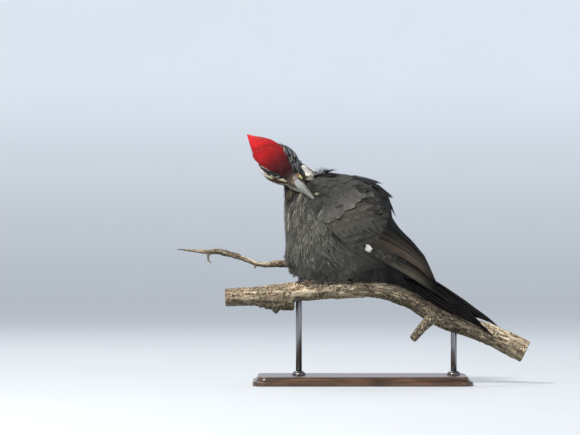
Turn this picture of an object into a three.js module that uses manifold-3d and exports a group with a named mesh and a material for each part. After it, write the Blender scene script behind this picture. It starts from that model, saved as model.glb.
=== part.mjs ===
// A life-size pileated woodpecker, still, preening its left shoulder on a cut length of dead branch, which
// two short rods hold over a flat base. Millimetres, +Z up, origin at the middle of the base's underside.
// The bird faces -X, so its left side is at -Y and its tail lies down along the branch towards +X.
import * as THREE from "three";
import { mergeVertices } from "three/addons/utils/BufferGeometryUtils.js";
import Module from "manifold-3d";

const wasm = await Module();
wasm.setup();

// ---------------------------------------------------------------- driving sizes

const GAP = 0.35; // clearance between pieces that touch
const LEFT = -1; // the sign of Y on the bird's left
const RIGHT = 1;

// The trunk's own frame: x runs from breast to tail, z from belly to back.
const BODY_AT = [-33, 0, 205];
const BODY_SLOPE_DEG = 35;

// Stations of the fluffed trunk: [x, back z, belly z, half width].
const TRUNK = [
  [-81, 8, 2, 3],
  [-77, 24, -12, 18],
  [-66, 46, -28, 34],
  [-38, 65.5, -62, 51],
  [-6, 79, -81, 59],
  [26, 78.5, -66, 57],
  [48, 59, -49, 48],
  [70, 38, -32, 36],
  [108, 26, -18, 23],
  [146, 12, -6, 12],
];

// Stations of a folded wing:
// [x, upper edge out, upper edge z, lower edge out, lower edge z, bulge, thickness].
const WING = [
  [-30, 54, 17, 57, -1, 1.5, 3],
  [-12, 54, 33, 62, -5, 4, 6],
  [10, 51, 50, 63, -7, 7, 7.5],
  [26, 46, 55, 60, -7, 9, 7.5],
  [42, 34, 57, 54, -5, 10, 7],
  [66, 11, 49, 43, 0, 10, 6],
  [96, 1.6, 43.5, 33, 4, 8, 5],
  [124, 1.2, 35, 27, 5.5, 6, 4],
  [145, 1.2, 24, 23, 6.5, 4, 3],
  [150, 6, 17, 22, 7, 2.6, 2.6],
  [170, 9.5, 14, 18.5, 8, 1.8, 2.2],
  [189, 13, 10.6, 14.6, 8.8, 0.8, 1.4],
];

const BLADE_RIM = 0.35; // a blade's thickness at its edges, as a share of that at its middle

// Stations of each half of the tail: [x, middle edge out, middle z, outer edge out, outer z, thickness].
// The near half hangs over the near side of the branch and the far half lies almost level.
const TAIL = {
  tail_left: [
    [78, -1, 14, 16, 6, 7],
    [110, -0.6, 15, 23, 0, 8],
    [150, -0.6, 17, 26.5, -8, 6],
    [196, -0.6, 15.5, 26, -5, 4],
    [216, 3, 10.5, 24, -1.2, 3],
    [236, 9, 6.5, 21, 1, 2.2],
    [259, 15.5, 3.4, 17.5, 2, 1.2],
  ],
  tail_right: [
    [78, -1, 14, 16, 10, 7],
    [110, -0.6, 15, 23, 11, 8],
    [150, -0.6, 18, 27, 17, 6],
    [190, -0.6, 16, 26, 21, 4],
    [212, 0.2, 11.5, 24, 22, 3],
    [232, 4, 14, 18, 21.8, 2.2],
    [252, 8.5, 17.6, 10.5, 18.6, 1.2],
  ],
};

const TAIL_BULGE = 0.12; // share of its width by which each half of the tail arches

// The neck's middle line and radius: [x, y, z, radius].
const NECK = [
  [-72, -3, 228, 33],
  [-77, 1, 243, 28.5],
  [-81, 6, 259, 24],
  [-87, 12, 275, 21],
  [-97, 17, 287, 18.5],
  [-107, 10, 292, 13],
];

// The head's own frame starts where the bill leaves the feathers: x runs along the bill, y to the bird's left
// and z through the crown. The bill points down to the tail side and towards the bird's left shoulder.
const BILL_BASE_AT = [-87.8, -21.8, 268.9];
const BILL_SLOPE_DEG = 44.4; // of its line in the XZ plane, down from +X
const BILL_OUT_DEG = 38; // out of that plane, towards -Y
const HEAD_ROLL_DEG = 6; // about the bill, which shows more of the right cheek from -Y

// Stations of the head: [x, crown z, throat z, half width].
const HEAD = [
  [-72, 5, -1, 4],
  [-68, 15, -10, 14],
  [-59, 20, -18, 22],
  [-45, 22.5, -21, 25.5],
  [-31, 21, -20, 24],
  [-18, 15, -16, 19],
  [-7, 9.5, -11, 12.5],
  [2, 6.5, -8, 8],
];

// Stations of the crest: [x, side lean, ridge z, foot z, half width].
const CREST = [
  [-14, 0, 15, 10, 8],
  [-29, 0, 24, 10, 17],
  [-46, -0.5, 31, 9, 21],
  [-60, -1, 34.5, 8, 19.5],
  [-72, -1.5, 34, 10, 14.5],
  [-83, -2.4, 30.5, 16, 8.5],
  [-90, -2.9, 28, 21.5, 3],
  [-95, -3.2, 26.8, 25.2, 0.8],
];

const CREST_PINCH = 0.3; // share by which the crest narrows towards its ridge

const HEAD_LEFT = 1; // the sign of y on the left in the head's frame, whose crown faces the other way round
const EYE_AT = [-23, 13.2, 9];
const EYE_R = 4.8;

// Half width and half height of each half of the bill at its root, and its length.
const BILL_LENGTH = 50;
const UPPER_BILL = { width: 6.6, height: 6.8, length: BILL_LENGTH };
const LOWER_BILL = { width: 5.6, height: 4.8, length: BILL_LENGTH - 2.5 };
const BILL_ROOT = -7; // how far back each half reaches into the head
const BILL_TIP = 1.1; // half width of the chisel tip
const BILL_TIP_HEIGHT = 1.4; // of each half
const BILL_TAPER_POWER = 1.25;
const BILL_ARCH_POWER = 0.8;

// The branch: [x, y, z, radius].
const BRANCH = [
  [-182, -1, 115, 12],
  [-129, 0, 117.6, 12.8],
  [-84, 0, 123.2, 13.6],
  [-38, 0, 125.6, 12],
  [8, 0, 126.8, 11.6],
  [32, 0.5, 125, 12.8],
  [54, 1.5, 118, 13],
  [76, 3, 106.4, 13.2],
  [99, 4, 93.2, 14.6],
  [122, 5, 82.5, 13.4],
  [168, 5.5, 66.5, 14.2],
  [217, 5, 42.6, 14.6],
];

// How the wood swells and sinks: [waves along it, waves round it, share of the radius].
const WOOD_WAVES = [
  [31, 2, 0.055],
  [67, -3, 0.0385],
];

// The side twig, from its foot in the branch behind the bird to its tip.
const TWIG = [
  [-72, 10, 124, 7.2],
  [-75, 20, 138, 6.4],
  [-81, 26, 150, 5.4],
  [-90, 28, 157.5, 4.8],
  [-101, 27, 159.8, 4.6],
  [-117, 22, 159.8, 4.9],
  [-129, 20, 158, 3.6],
  [-140, 19, 159.6, 3.5],
  [-170, 17, 171, 3.8],
  [-193, 16, 176.3, 3.9],
  [-204, 15, 175.6, 3.5],
  [-225, 14, 177.2, 2.3],
  [-247, 13, 179.2, 0.9],
];
const TWIG_SPURS = {
  hook: [
    [-202, 15, 176, 2.6],
    [-205, 13, 170, 1.9],
    [-204, 12, 163, 1.3],
    [-200, 12, 160, 0.7],
  ],
  thorn: [
    [-141, 19, 160, 2.6],
    [-142, 17.5, 155.5, 1.7],
    [-143.5, 17, 152, 0.7],
  ],
};

// What stands out from the branch: each is a middle line with radii, as above.
const BRANCH_PARTS = {
  stub: [
    [99, 1, 93, 9],
    [88, -7, 84, 7.4],
    [77, -11, 72, 5.8],
    [66.5, -14, 60.5, 4.9],
  ],
  nub: [
    [100, 2, 88, 7],
    [103, 0, 81, 4.4],
    [106, -1, 75.5, 1.2],
  ],
  swelling: [
    [-136, -1, 113, 10.4],
    [-124, -2, 110.5, 11.4],
    [-105, -2, 110, 12.2],
    [-91, -1, 110.5, 12.4],
  ],
  knot: [
    [-110, -2, 112, 10],
    [-112, -5, 105, 8.4],
    [-115, -6, 99, 5.6],
    [-116, -6, 93.5, 1.6],
  ],
  burl: [
    [-88, 1, 127, 7],
    [-79, 1, 131.5, 10.2],
    [-66, 1, 132, 10.4],
    [-54, 2, 127.5, 8],
  ],
};

const BASE = { length: 290, width: 150, height: 12, corner: 18, bevel: 1.6 };
const ROD_R = 4;
const ROD_AT = [
  [-84, 0],
  [122, 5],
];
const ROD_DEPTH = 7; // how far each rod goes up into the branch
const COLLAR = { radius: 9, height: 5 };

// The feathered thigh, from the flank down to the shank: [x, out, z, radius].
const THIGH = [
  [-2, 27, 170, 14],
  [-14, 25, 158, 18],
  [-32, 19, 148.5, 13],
  [-46, 10, 145.5, 6.5],
];

// The feet: the middle of each, where the shank starts, and where each toe's claw begins, from that middle.
const FOOT = { x: -60, out: 7 };
const SHANK_TOP = [-52, 8, 147];
const SHANK_R = 2.9;
const TOE_R = 2.3;
const TOE_TAPER = { heel: 1.15, tip: 0.8 };
const TOE_CLEARANCE = 0.6; // above the wood, whose own surface is uneven
const CLAW = { reach: 0.24, drop: 4.2, radius: 0.5 }; // reach is a share of the toe's
const TOES = {
  inner_front: [-21, -4.5],
  outer_front: [-22, 1.5],
  outer_back: [6, 2.8],
  inner_back: [14, -3],
};

// The room that a foot takes under the belly: [ahead of its middle, above the toes, radius].
const FOOT_ROOM = [
  [-32, 2, 10],
  [-12, 2, 11],
  [6, 2, 11.5],
  [22, 3, 10],
];

// ---------------------------------------------------------------- making solids

const mix = THREE.MathUtils.lerp;

/** The numbers at share u of the way through a table, on a smooth curve through its rows. */
function along(table, u) {
  const last = table.length - 1;
  const span = Math.min(Math.floor(u * last), last - 1);
  const f = u * last - span;
  const row = (i) => table[Math.min(Math.max(i, 0), last)];
  return row(span).map((b, k) => {
    const [a, c, d] = [row(span - 1)[k], row(span + 1)[k], row(span + 2)[k]];
    return b + 0.5 * f * (c - a + f * (2 * a - 5 * b + 4 * c - d + f * (3 * (b - c) + d - a)));
  });
}

/** A closed body through rings with equal numbers of points; each end is closed on its own middle. */
function loft(rings) {
  const sides = rings[0].length;
  const points = rings.flat();
  const faces = [];
  for (let r = 0; r + 1 < rings.length; r++)
    for (let s = 0; s < sides; s++) {
      const [a, b] = [r * sides + s, r * sides + ((s + 1) % sides)];
      faces.push(a, b, b + sides, a, b + sides, a + sides);
    }
  for (const [ring, start, flip] of [
    [rings[0], 0, 1],
    [rings.at(-1), (rings.length - 1) * sides, 0],
  ]) {
    const middle = points.length;
    points.push(ring.reduce((sum, p) => sum.add(p), new THREE.Vector3()).divideScalar(sides));
    for (let s = 0; s < sides; s++) {
      const edge = [start + s, start + ((s + 1) % sides)];
      faces.push(edge[flip], edge[1 - flip], middle);
    }
  }
  const geometry = new THREE.BufferGeometry().setFromPoints(points);
  geometry.setIndex(faces);
  return solidOf(geometry);
}

/** A three.js geometry as a manifold solid, turned the right way out. */
function solidOf(geometry) {
  const bare = geometry.clone();
  bare.deleteAttribute("normal");
  bare.deleteAttribute("uv");
  const merged = mergeVertices(bare, 1e-4);
  const vertProperties = new Float32Array(merged.attributes.position.array);
  const make = (triVerts) =>
    new wasm.Manifold(new wasm.Mesh({ numProp: 3, vertProperties, triVerts: new Uint32Array(triVerts) }));
  const made = make(merged.index.array);
  return made.volume() > 0 ? made : make([...merged.index.array].reverse());
}

/** A manifold solid as a three.js geometry. */
function geometryOf(solid) {
  const mesh = solid.getMesh();
  const geometry = new THREE.BufferGeometry();
  geometry.setAttribute("position", new THREE.Float32BufferAttribute(mesh.vertProperties, 3));
  geometry.setIndex([...mesh.triVerts]);
  geometry.computeVertexNormals();
  return geometry;
}

/** The solid with its corners moved out along their normals, to cut its neighbours with a gap. */
function grown(solid, by = GAP) {
  const geometry = geometryOf(solid);
  const { position, normal } = geometry.attributes;
  for (let i = 0; i < position.count; i++)
    position.setXYZ(
      i,
      position.getX(i) + by * normal.getX(i),
      position.getY(i) + by * normal.getY(i),
      position.getZ(i) + by * normal.getZ(i),
    );
  return solidOf(geometry).add(solid);
}

/** The largest piece that is left, without the slivers that a cut can leave. */
const largest = (solid) => solid.decompose().reduce((a, b) => (a.volume() > b.volume() ? a : b));

/** The solid less its neighbours, with a gap. */
const clearOf = (solid, ...others) =>
  largest(others.reduce((left, other) => left.subtract(grown(other)), solid));

/** An ellipse in a YZ plane of the frame. */
function ellipse(x, middleY, middleZ, halfY, halfZ, sides, shape = () => 1) {
  return Array.from({ length: sides }, (_, s) => {
    const a = (2 * Math.PI * s) / sides;
    const size = shape(a);
    return new THREE.Vector3(x, middleY + halfY * size * Math.cos(a), middleZ + halfZ * Math.sin(a));
  });
}

/** A round limb along a table of [x, y, z, radius]; shape gives a share of the radius. */
function limb(table, rings, sides, shape = () => 1) {
  const spine = new THREE.CatmullRomCurve3(table.map(([x, y, z]) => new THREE.Vector3(x, y, z)));
  const frames = spine.computeFrenetFrames(rings, false);
  return loft(
    Array.from({ length: rings + 1 }, (_, r) => {
      const u = r / rings;
      const middle = spine.getPointAt(u);
      const radius = radiusNear(table, middle);
      return Array.from({ length: sides }, (_, s) => {
        const a = (2 * Math.PI * s) / sides;
        const size = radius * shape(u, a);
        return middle
          .clone()
          .addScaledVector(frames.normals[r], size * Math.cos(a))
          .addScaledVector(frames.binormals[r], size * Math.sin(a));
      });
    }),
  );
}

/** The radius of a limb's table at the place nearest to a point. */
function radiusNear(table, point) {
  let best = { distance: Infinity, radius: 0 };
  const steps = 12 * (table.length - 1);
  for (let i = 0; i <= steps; i++) {
    const [x, y, z, radius] = along(table, i / steps);
    const distance = point.distanceTo(new THREE.Vector3(x, y, z));
    if (distance < best.distance) best = { distance, radius };
  }
  return best.radius;
}

// ---------------------------------------------------------------- frames

const woodpecker = new THREE.Group();
woodpecker.name = "pileated_woodpecker";

const body = new THREE.Group();
body.position.set(...BODY_AT);
body.rotation.y = THREE.MathUtils.degToRad(BODY_SLOPE_DEG);
woodpecker.add(body);

const head = new THREE.Group();
head.position.set(...BILL_BASE_AT);
{
  const [slope, out, roll] = [BILL_SLOPE_DEG, BILL_OUT_DEG, HEAD_ROLL_DEG].map(THREE.MathUtils.degToRad);
  const inPlane = new THREE.Vector3(Math.cos(slope), 0, -Math.sin(slope));
  const viewer = new THREE.Vector3(0, LEFT, 0);
  const forward = inPlane.clone().multiplyScalar(Math.cos(out)).addScaledVector(viewer, Math.sin(out));
  const crown = viewer.clone().multiplyScalar(Math.cos(out)).addScaledVector(inPlane, -Math.sin(out));
  crown.applyAxisAngle(forward, -roll);
  const left = crown.clone().cross(forward);
  head.quaternion.setFromRotationMatrix(new THREE.Matrix4().makeBasis(forward, left, crown));
}
woodpecker.add(head);
woodpecker.updateMatrixWorld(true);

const toWorld = (solid, group) => solid.transform([...group.matrixWorld.elements]);
const toLocal = (solid, group) => solid.transform([...group.matrixWorld.clone().invert().elements]);

// ---------------------------------------------------------------- the bird's pieces, each in world space

function makeTrunk() {
  const [rings, sides] = [17, 18];
  const solid = loft(
    Array.from({ length: rings + 1 }, (_, r) => {
      const [x, back, belly, half] = along(TRUNK, r / rings);
      return ellipse(x, 0, (back + belly) / 2, half, (back - belly) / 2, sides);
    }),
  );
  return toWorld(solid, body);
}

/** A thin curved blade between an upper and a lower edge, bulging outwards, as one ring of points. */
function bladeRing(x, upper, lower, bulge, thickness, side, steps) {
  const chord = lower.clone().sub(upper);
  const out = new THREE.Vector2(-chord.y, chord.x).normalize();
  const point = (s, inset) => {
    const swell = bulge * 4 * s * (1 - s) - inset * mix(BLADE_RIM, 1, Math.sin(Math.PI * s));
    const p = upper.clone().addScaledVector(chord, s).addScaledVector(out, swell);
    return new THREE.Vector3(x, side * p.x, p.y);
  };
  const outer = Array.from({ length: steps + 1 }, (_, i) => point(i / steps, 0));
  const inner = Array.from({ length: steps + 1 }, (_, i) => point(1 - i / steps, thickness));
  return [...outer, ...inner];
}

function makeWing(side) {
  const [rings, steps] = [19, 4];
  const solid = loft(
    Array.from({ length: rings + 1 }, (_, r) => {
      const [x, topOut, topZ, lowOut, lowZ, bulge, thickness] = along(WING, r / rings);
      const upper = new THREE.Vector2(topOut, topZ);
      const lower = new THREE.Vector2(lowOut, lowZ);
      return bladeRing(x, upper, lower, bulge, thickness, side, steps);
    }),
  );
  return toWorld(solid, body);
}

function makeTailHalf(table, side) {
  const [rings, steps] = [13, 3];
  const solid = loft(
    Array.from({ length: rings + 1 }, (_, r) => {
      const [x, midOut, midZ, edgeOut, edgeZ, thickness] = along(table, r / rings);
      const middle = new THREE.Vector2(midOut, midZ);
      const edge = new THREE.Vector2(edgeOut, edgeZ);
      return bladeRing(x, middle, edge, TAIL_BULGE * middle.distanceTo(edge), thickness, side, steps);
    }),
  );
  return toWorld(solid, body);
}

function makeHead() {
  const [rings, sides] = [12, 16];
  const solid = loft(
    Array.from({ length: rings + 1 }, (_, r) => {
      const [x, crownZ, throatZ, half] = along(HEAD, r / rings);
      return ellipse(x, 0, (crownZ + throatZ) / 2, half, (crownZ - throatZ) / 2, sides);
    }),
  );
  return toWorld(solid, head);
}

/** The crest narrows to a ridge along its top. */
function makeCrest() {
  const [rings, sides] = [11, 12];
  const ridge = (a) => 1 - CREST_PINCH * Math.max(0, Math.sin(a));
  const solid = loft(
    Array.from({ length: rings + 1 }, (_, r) => {
      const [x, lean, ridgeZ, footZ, half] = along(CREST, r / rings);
      return ellipse(x, lean, (ridgeZ + footZ) / 2, half, (ridgeZ - footZ) / 2, sides, ridge);
    }),
  );
  return toWorld(solid, head);
}

/** One half of the bill: straight along the gape, and tapering to a chisel tip. */
function makeBillHalf({ width, height, length }, up) {
  const [rings, half] = [7, 6];
  const solid = loft(
    Array.from({ length: rings + 1 }, (_, r) => {
      const x = mix(BILL_ROOT, length, r / rings);
      const taper = 1 - (Math.max(0, x) / length) ** BILL_TAPER_POWER;
      const halfWidth = mix(BILL_TIP, width, taper);
      const rise = mix(BILL_TIP_HEIGHT, height, taper);
      return Array.from({ length: half + 1 }, (_, i) => {
        const a = (Math.PI * i) / half;
        const z = GAP / 2 + rise * Math.sin(a) ** BILL_ARCH_POWER;
        return new THREE.Vector3(x, halfWidth * Math.cos(a), up * z);
      });
    }),
  );
  return toWorld(solid, head);
}

function makeEye(side) {
  const [x, out, z] = EYE_AT;
  const ball = new THREE.SphereGeometry(EYE_R, 12, 7).translate(x, side * out, z);
  return toWorld(solidOf(ball), head);
}

function makeThigh(side) {
  const table = THIGH.map(([x, out, z, radius]) => [x, side * out, z, radius]);
  return limb(table, 5, 10);
}

/** The room under the belly that a foot takes, from its toes' tips back to its shank. */
function makeFootRoom(side) {
  const [x, y] = [FOOT.x, side * FOOT.out];
  const z = woodTop(x, y) + TOE_R;
  const table = FOOT_ROOM.map(([ahead, above, radius]) => [x + ahead, y, z + above, radius]);
  return limb(table, 4, 8);
}

/** The height of the wood's upper face at a place seen from above. */
function woodTop(x, y) {
  const heights = [BRANCH, BRANCH_PARTS.burl].map((table) => {
    const [, middleY, z, radius] = stationAt(table, x);
    return z + Math.sqrt(Math.max(0, radius ** 2 - (y - middleY) ** 2));
  });
  return Math.max(...heights);
}

/** A foot: the shank's end and four toes that grip the branch, two ahead and two behind. */
function makeFoot(side) {
  const [x, y] = [FOOT.x, side * FOOT.out];
  const heel = [x, y, woodTop(x, y) + SHANK_R];
  const [topX, topOut, topZ] = SHANK_TOP;
  const middle = [(x + topX) / 2, (y + side * topOut) / 2, (heel[2] + topZ) / 2];
  const shank = limb(
    [
      [topX, side * topOut, topZ, SHANK_R],
      [...middle, SHANK_R],
      [...heel, SHANK_R],
    ],
    3,
    6,
  );
  const toes = Object.values(TOES).map(([dx, out]) => {
    const lying = (share) => {
      const at = [x + share * dx, y + share * side * out];
      return [...at, woodTop(...at) + TOE_R + TOE_CLEARANCE];
    };
    const [tipX, tipY, tipZ] = lying(1);
    return limb(
      [
        [...heel, TOE_R * TOE_TAPER.heel],
        [...lying(0.5), TOE_R],
        [tipX, tipY, tipZ, TOE_R * TOE_TAPER.tip],
        [tipX + CLAW.reach * dx, tipY + CLAW.reach * side * out, tipZ - CLAW.drop, CLAW.radius],
      ],
      4,
      5,
    );
  });
  return toes.reduce((joined, toe) => joined.add(toe), shank);
}

// ---------------------------------------------------------------- branch and stand, in world space

/** The wood's radius at share u along it and angle a round it, as a share of the radius in its table. */
function lumpy(u, a) {
  const swell = ([lengthwise, round, share]) => share * Math.sin(lengthwise * u + round * a);
  return WOOD_WAVES.reduce((size, wave) => size + swell(wave), 1);
}

function makeBase() {
  const { length, width, height, corner, bevel } = BASE;
  const [x, y] = [length / 2 - corner, width / 2 - corner];
  const outline = new THREE.Shape();
  outline.absarc(x, y, corner - bevel, 0, Math.PI / 2);
  outline.absarc(-x, y, corner - bevel, Math.PI / 2, Math.PI);
  outline.absarc(-x, -y, corner - bevel, Math.PI, 1.5 * Math.PI);
  outline.absarc(x, -y, corner - bevel, 1.5 * Math.PI, 2 * Math.PI);
  const slab = new THREE.ExtrudeGeometry(outline, {
    depth: height - bevel,
    bevelSize: bevel,
    bevelThickness: bevel / 2,
    bevelSegments: 1,
    curveSegments: 3,
  });
  return solidOf(slab.translate(0, 0, bevel / 2));
}

function upright(radius, bottom, top, [x, y]) {
  const post = new THREE.CylinderGeometry(radius, radius, top - bottom, 12);
  return solidOf(post.rotateX(Math.PI / 2).translate(x, y, (top + bottom) / 2));
}

/** The numbers of a limb's table at the place nearest to x. */
function stationAt(table, x) {
  const steps = 40 * (table.length - 1);
  const places = Array.from({ length: steps + 1 }, (_, i) => along(table, i / steps));
  return places.reduce((a, b) => (Math.abs(a[0] - x) < Math.abs(b[0] - x) ? a : b));
}

/** The height of the branch's underside over a point of the floor. */
function underside(x) {
  const [, , z, radius] = stationAt(BRANCH, x);
  return z - radius;
}

// ---------------------------------------------------------------- fitting the pieces together

const solids = {};
const put = (name, group, material, solid) => (solids[name] = { group, material, solid });

const matt = (color, roughness = 0.8) => new THREE.MeshStandardMaterial({ color, roughness, metalness: 0 });
const MATERIALS = {
  black: matt(0x2b2a28),
  red: matt(0xb5141c, 0.7),
  horn: matt(0x8b9094, 0.45),
  eye: matt(0xd8c23a, 0.15),
  foot: matt(0x5a5f60, 0.6),
  wood: matt(0x8a7a5c, 0.9),
  stand: matt(0x4a3526, 0.5),
  metal: new THREE.MeshStandardMaterial({ color: 0x3a3a3c, roughness: 0.35, metalness: 1 }),
};

// Branch first, because everything else stands off it.
const rods = ROD_AT.map((at) => upright(ROD_R, BASE.height + GAP, underside(at[0]) + ROD_DEPTH, at));
const withParts = (wood, parts, rings, sides) =>
  Object.values(parts).reduce((joined, table) => joined.add(limb(table, rings, sides, lumpy)), wood);
const perch = clearOf(withParts(limb(BRANCH, 28, 10, lumpy), BRANCH_PARTS, 4, 7), ...rods);
const twig = clearOf(withParts(limb(TWIG, 24, 6, lumpy), TWIG_SPURS, 3, 5), perch);
put("perch", woodpecker, MATERIALS.wood, perch);
put("perch_twig", woodpecker, MATERIALS.wood, twig);

// Head: eyes and bill are whole, and the flesh stops short of them.
const eyes = { left: makeEye(HEAD_LEFT), right: makeEye(-HEAD_LEFT) };
const skull = makeHead();
const bills = {
  upper: clearOf(makeBillHalf(UPPER_BILL, 1), skull),
  lower: clearOf(makeBillHalf(LOWER_BILL, -1), skull),
};
put("bill_upper", head, MATERIALS.horn, bills.upper);
put("bill_lower", head, MATERIALS.horn, bills.lower);
put("eye_left", head, MATERIALS.eye, eyes.left);
put("eye_right", head, MATERIALS.eye, eyes.right);
put("head", head, MATERIALS.black, clearOf(skull, eyes.left, eyes.right));
put("crest", head, MATERIALS.red, clearOf(makeCrest(), skull, eyes.left, eyes.right));

// Trunk: cut to take the wings, the feet, the branch and the bill's tip.
const sides = { left: LEFT, right: RIGHT };
const tail = { tail_left: makeTailHalf(TAIL.tail_left, LEFT) };
tail.tail_right = clearOf(makeTailHalf(TAIL.tail_right, RIGHT), tail.tail_left);
const wings = { left: makeWing(LEFT) };
wings.right = clearOf(makeWing(RIGHT), wings.left);
const wholeTrunk = makeTrunk();
const cutters = [perch, twig, skull, bills.upper, bills.lower];
for (const [name, side] of Object.entries(sides)) {
  const foot = clearOf(makeFoot(side), perch, twig);
  const leg = clearOf(makeThigh(side), makeFootRoom(side), wings[name], perch);
  put(`foot_${name}`, woodpecker, MATERIALS.foot, foot);
  put(`leg_${name}`, woodpecker, MATERIALS.black, leg);
  put(`wing_${name}`, body, MATERIALS.black, wings[name]);
  cutters.push(makeFootRoom(side), leg, wings[name]);
}
const trunk = clearOf(wholeTrunk, ...cutters);
put("trunk", body, MATERIALS.black, trunk);
for (const [name, solid] of Object.entries(tail))
  put(name, body, MATERIALS.black, clearOf(solid, trunk, wings.left, wings.right, perch));
const neck = clearOf(limb(NECK, 7, 12), wholeTrunk, skull, solids.crest.solid, bills.upper, bills.lower);
put("neck", woodpecker, MATERIALS.black, neck);

// Stand.
put("stand_base", woodpecker, MATERIALS.stand, makeBase());
rods.forEach((rod, i) => {
  const collar = upright(COLLAR.radius, BASE.height + GAP, BASE.height + GAP + COLLAR.height, ROD_AT[i]);
  put(`stand_rod_${i + 1}`, woodpecker, MATERIALS.metal, rod);
  put(`stand_collar_${i + 1}`, woodpecker, MATERIALS.metal, clearOf(collar, rod));
});

for (const [name, { group, material, solid }] of Object.entries(solids)) {
  const mesh = new THREE.Mesh(geometryOf(toLocal(solid, group)), material);
  mesh.name = name;
  group.add(mesh);
}

export default woodpecker;
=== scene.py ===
"""A pileated woodpecker preening on a cut branch: skin, plumage, bill, eyes, feet, bark and stand.

Lengths in the tables are millimetres. The body frame runs x towards the tail, y to the bird's right and z
through the back. The head frame runs x along the bill, y to the bird's left and z through the crown.
"""
import itertools
import math

import bpy
import numpy as np
import openvdb
from mathutils import Matrix, Vector


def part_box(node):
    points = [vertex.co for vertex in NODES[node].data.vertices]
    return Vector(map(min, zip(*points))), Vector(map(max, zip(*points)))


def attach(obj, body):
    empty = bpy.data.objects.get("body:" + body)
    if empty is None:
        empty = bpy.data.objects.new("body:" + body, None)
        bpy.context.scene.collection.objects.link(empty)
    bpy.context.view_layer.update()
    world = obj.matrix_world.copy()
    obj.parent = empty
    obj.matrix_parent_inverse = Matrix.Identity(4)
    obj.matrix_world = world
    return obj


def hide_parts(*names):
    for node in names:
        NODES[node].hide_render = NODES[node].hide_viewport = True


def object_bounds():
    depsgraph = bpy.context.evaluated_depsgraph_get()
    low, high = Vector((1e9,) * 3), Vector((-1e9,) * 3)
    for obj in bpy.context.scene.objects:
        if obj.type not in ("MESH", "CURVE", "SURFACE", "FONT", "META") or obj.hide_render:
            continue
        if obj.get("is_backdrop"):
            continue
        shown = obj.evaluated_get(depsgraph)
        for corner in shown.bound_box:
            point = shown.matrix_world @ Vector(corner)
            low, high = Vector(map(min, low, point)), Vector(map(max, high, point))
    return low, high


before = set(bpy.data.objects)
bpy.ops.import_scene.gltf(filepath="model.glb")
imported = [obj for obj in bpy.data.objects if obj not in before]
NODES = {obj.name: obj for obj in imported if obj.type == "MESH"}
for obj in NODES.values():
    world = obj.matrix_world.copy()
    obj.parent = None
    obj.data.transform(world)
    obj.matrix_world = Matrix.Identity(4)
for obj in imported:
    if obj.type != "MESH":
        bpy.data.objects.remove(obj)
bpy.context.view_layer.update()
MM = 0.001
LEFT, RIGHT = -1, 1  # world Y signs of the bird's sides; the head's own y runs the other way
rng = np.random.default_rng(20)


# ---------------------------------------------------------------- numbers shared with the solids

BODY_AT = [-33, 0, 205]
BODY_SLOPE_DEG = 35

# [x, back z, belly z, half width]
TRUNK = [
    [-81, 8, 2, 3], [-77, 24, -12, 18], [-66, 46, -28, 34], [-38, 65.5, -62, 51], [-6, 79, -81, 59],
    [26, 78.5, -66, 57], [48, 59, -49, 48], [70, 38, -32, 36], [108, 26, -18, 23], [146, 12, -6, 12],
]
# [x, top out, top z, low out, low z, bulge, thickness]
WING = [
    [-30, 54, 17, 57, -1, 1.5, 3], [-12, 54, 33, 62, -5, 4, 6], [10, 51, 50, 63, -7, 7, 7.5],
    [26, 46, 55, 60, -7, 9, 7.5], [42, 34, 57, 54, -5, 10, 7], [66, 11, 49, 43, 0, 10, 6],
    [96, 1.6, 43.5, 33, 4, 8, 5], [124, 1.2, 35, 27, 5.5, 6, 4], [145, 1.2, 24, 23, 6.5, 4, 3],
    [150, 6, 17, 22, 7, 2.6, 2.6], [170, 9.5, 14, 18.5, 8, 1.8, 2.2], [189, 13, 10.6, 14.6, 8.8, 0.8, 1.4],
]
# [x, middle out, middle z, edge out, edge z, thickness]
TAIL = {
    LEFT: [
        [78, -1, 14, 16, 6, 7], [110, -0.6, 15, 23, 0, 8], [150, -0.6, 17, 26.5, -8, 6],
        [196, -0.6, 15.5, 26, -5, 4], [216, 3, 10.5, 24, -1.2, 3], [236, 9, 6.5, 21, 1, 2.2],
        [259, 15.5, 3.4, 17.5, 2, 1.2],
    ],
    RIGHT: [
        [78, -1, 14, 16, 10, 7], [110, -0.6, 15, 23, 11, 8], [150, -0.6, 18, 27, 17, 6],
        [190, -0.6, 16, 26, 21, 4], [212, 0.2, 11.5, 24, 22, 3], [232, 4, 14, 18, 21.8, 2.2],
        [252, 8.5, 17.6, 10.5, 18.6, 1.2],
    ],
}
# [x, y, z, radius]
NECK = [
    [-72, -3, 228, 33], [-77, 1, 243, 28.5], [-81, 6, 259, 24], [-87, 12, 275, 21], [-97, 17, 287, 18.5],
    [-107, 10, 292, 13],
]
BILL_BASE_AT = [-87.8, -21.8, 268.9]
BILL_SLOPE_DEG = 44.4
BILL_OUT_DEG = 38
HEAD_ROLL_DEG = 6
# [x, crown z, throat z, half width]
HEAD = [
    [-72, 5, -1, 4], [-68, 15, -10, 14], [-59, 20, -18, 22], [-45, 22.5, -21, 25.5], [-31, 21, -20, 24],
    [-18, 15, -16, 19], [-7, 9.5, -11, 12.5], [2, 6.5, -8, 8],
]
CREST_TIP = [-95, -3.2, 26]
EYE_AT = [-23, 13.2, 9]
EYE_R = 4.8
BILL_LENGTH = 50
UPPER_BILL = {"width": 6.6, "height": 6.8, "length": BILL_LENGTH, "up": 1}
LOWER_BILL = {"width": 5.6, "height": 4.8, "length": BILL_LENGTH - 2.5, "up": -1}
BILL_ROOT = -7
BILL_TIP = 1.1  # half width of the chisel tip
BILL_TIP_HEIGHT = 1.4  # of each half
BILL_TAPER_POWER = 1.25
GAP = 0.35  # between pieces that touch

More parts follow.
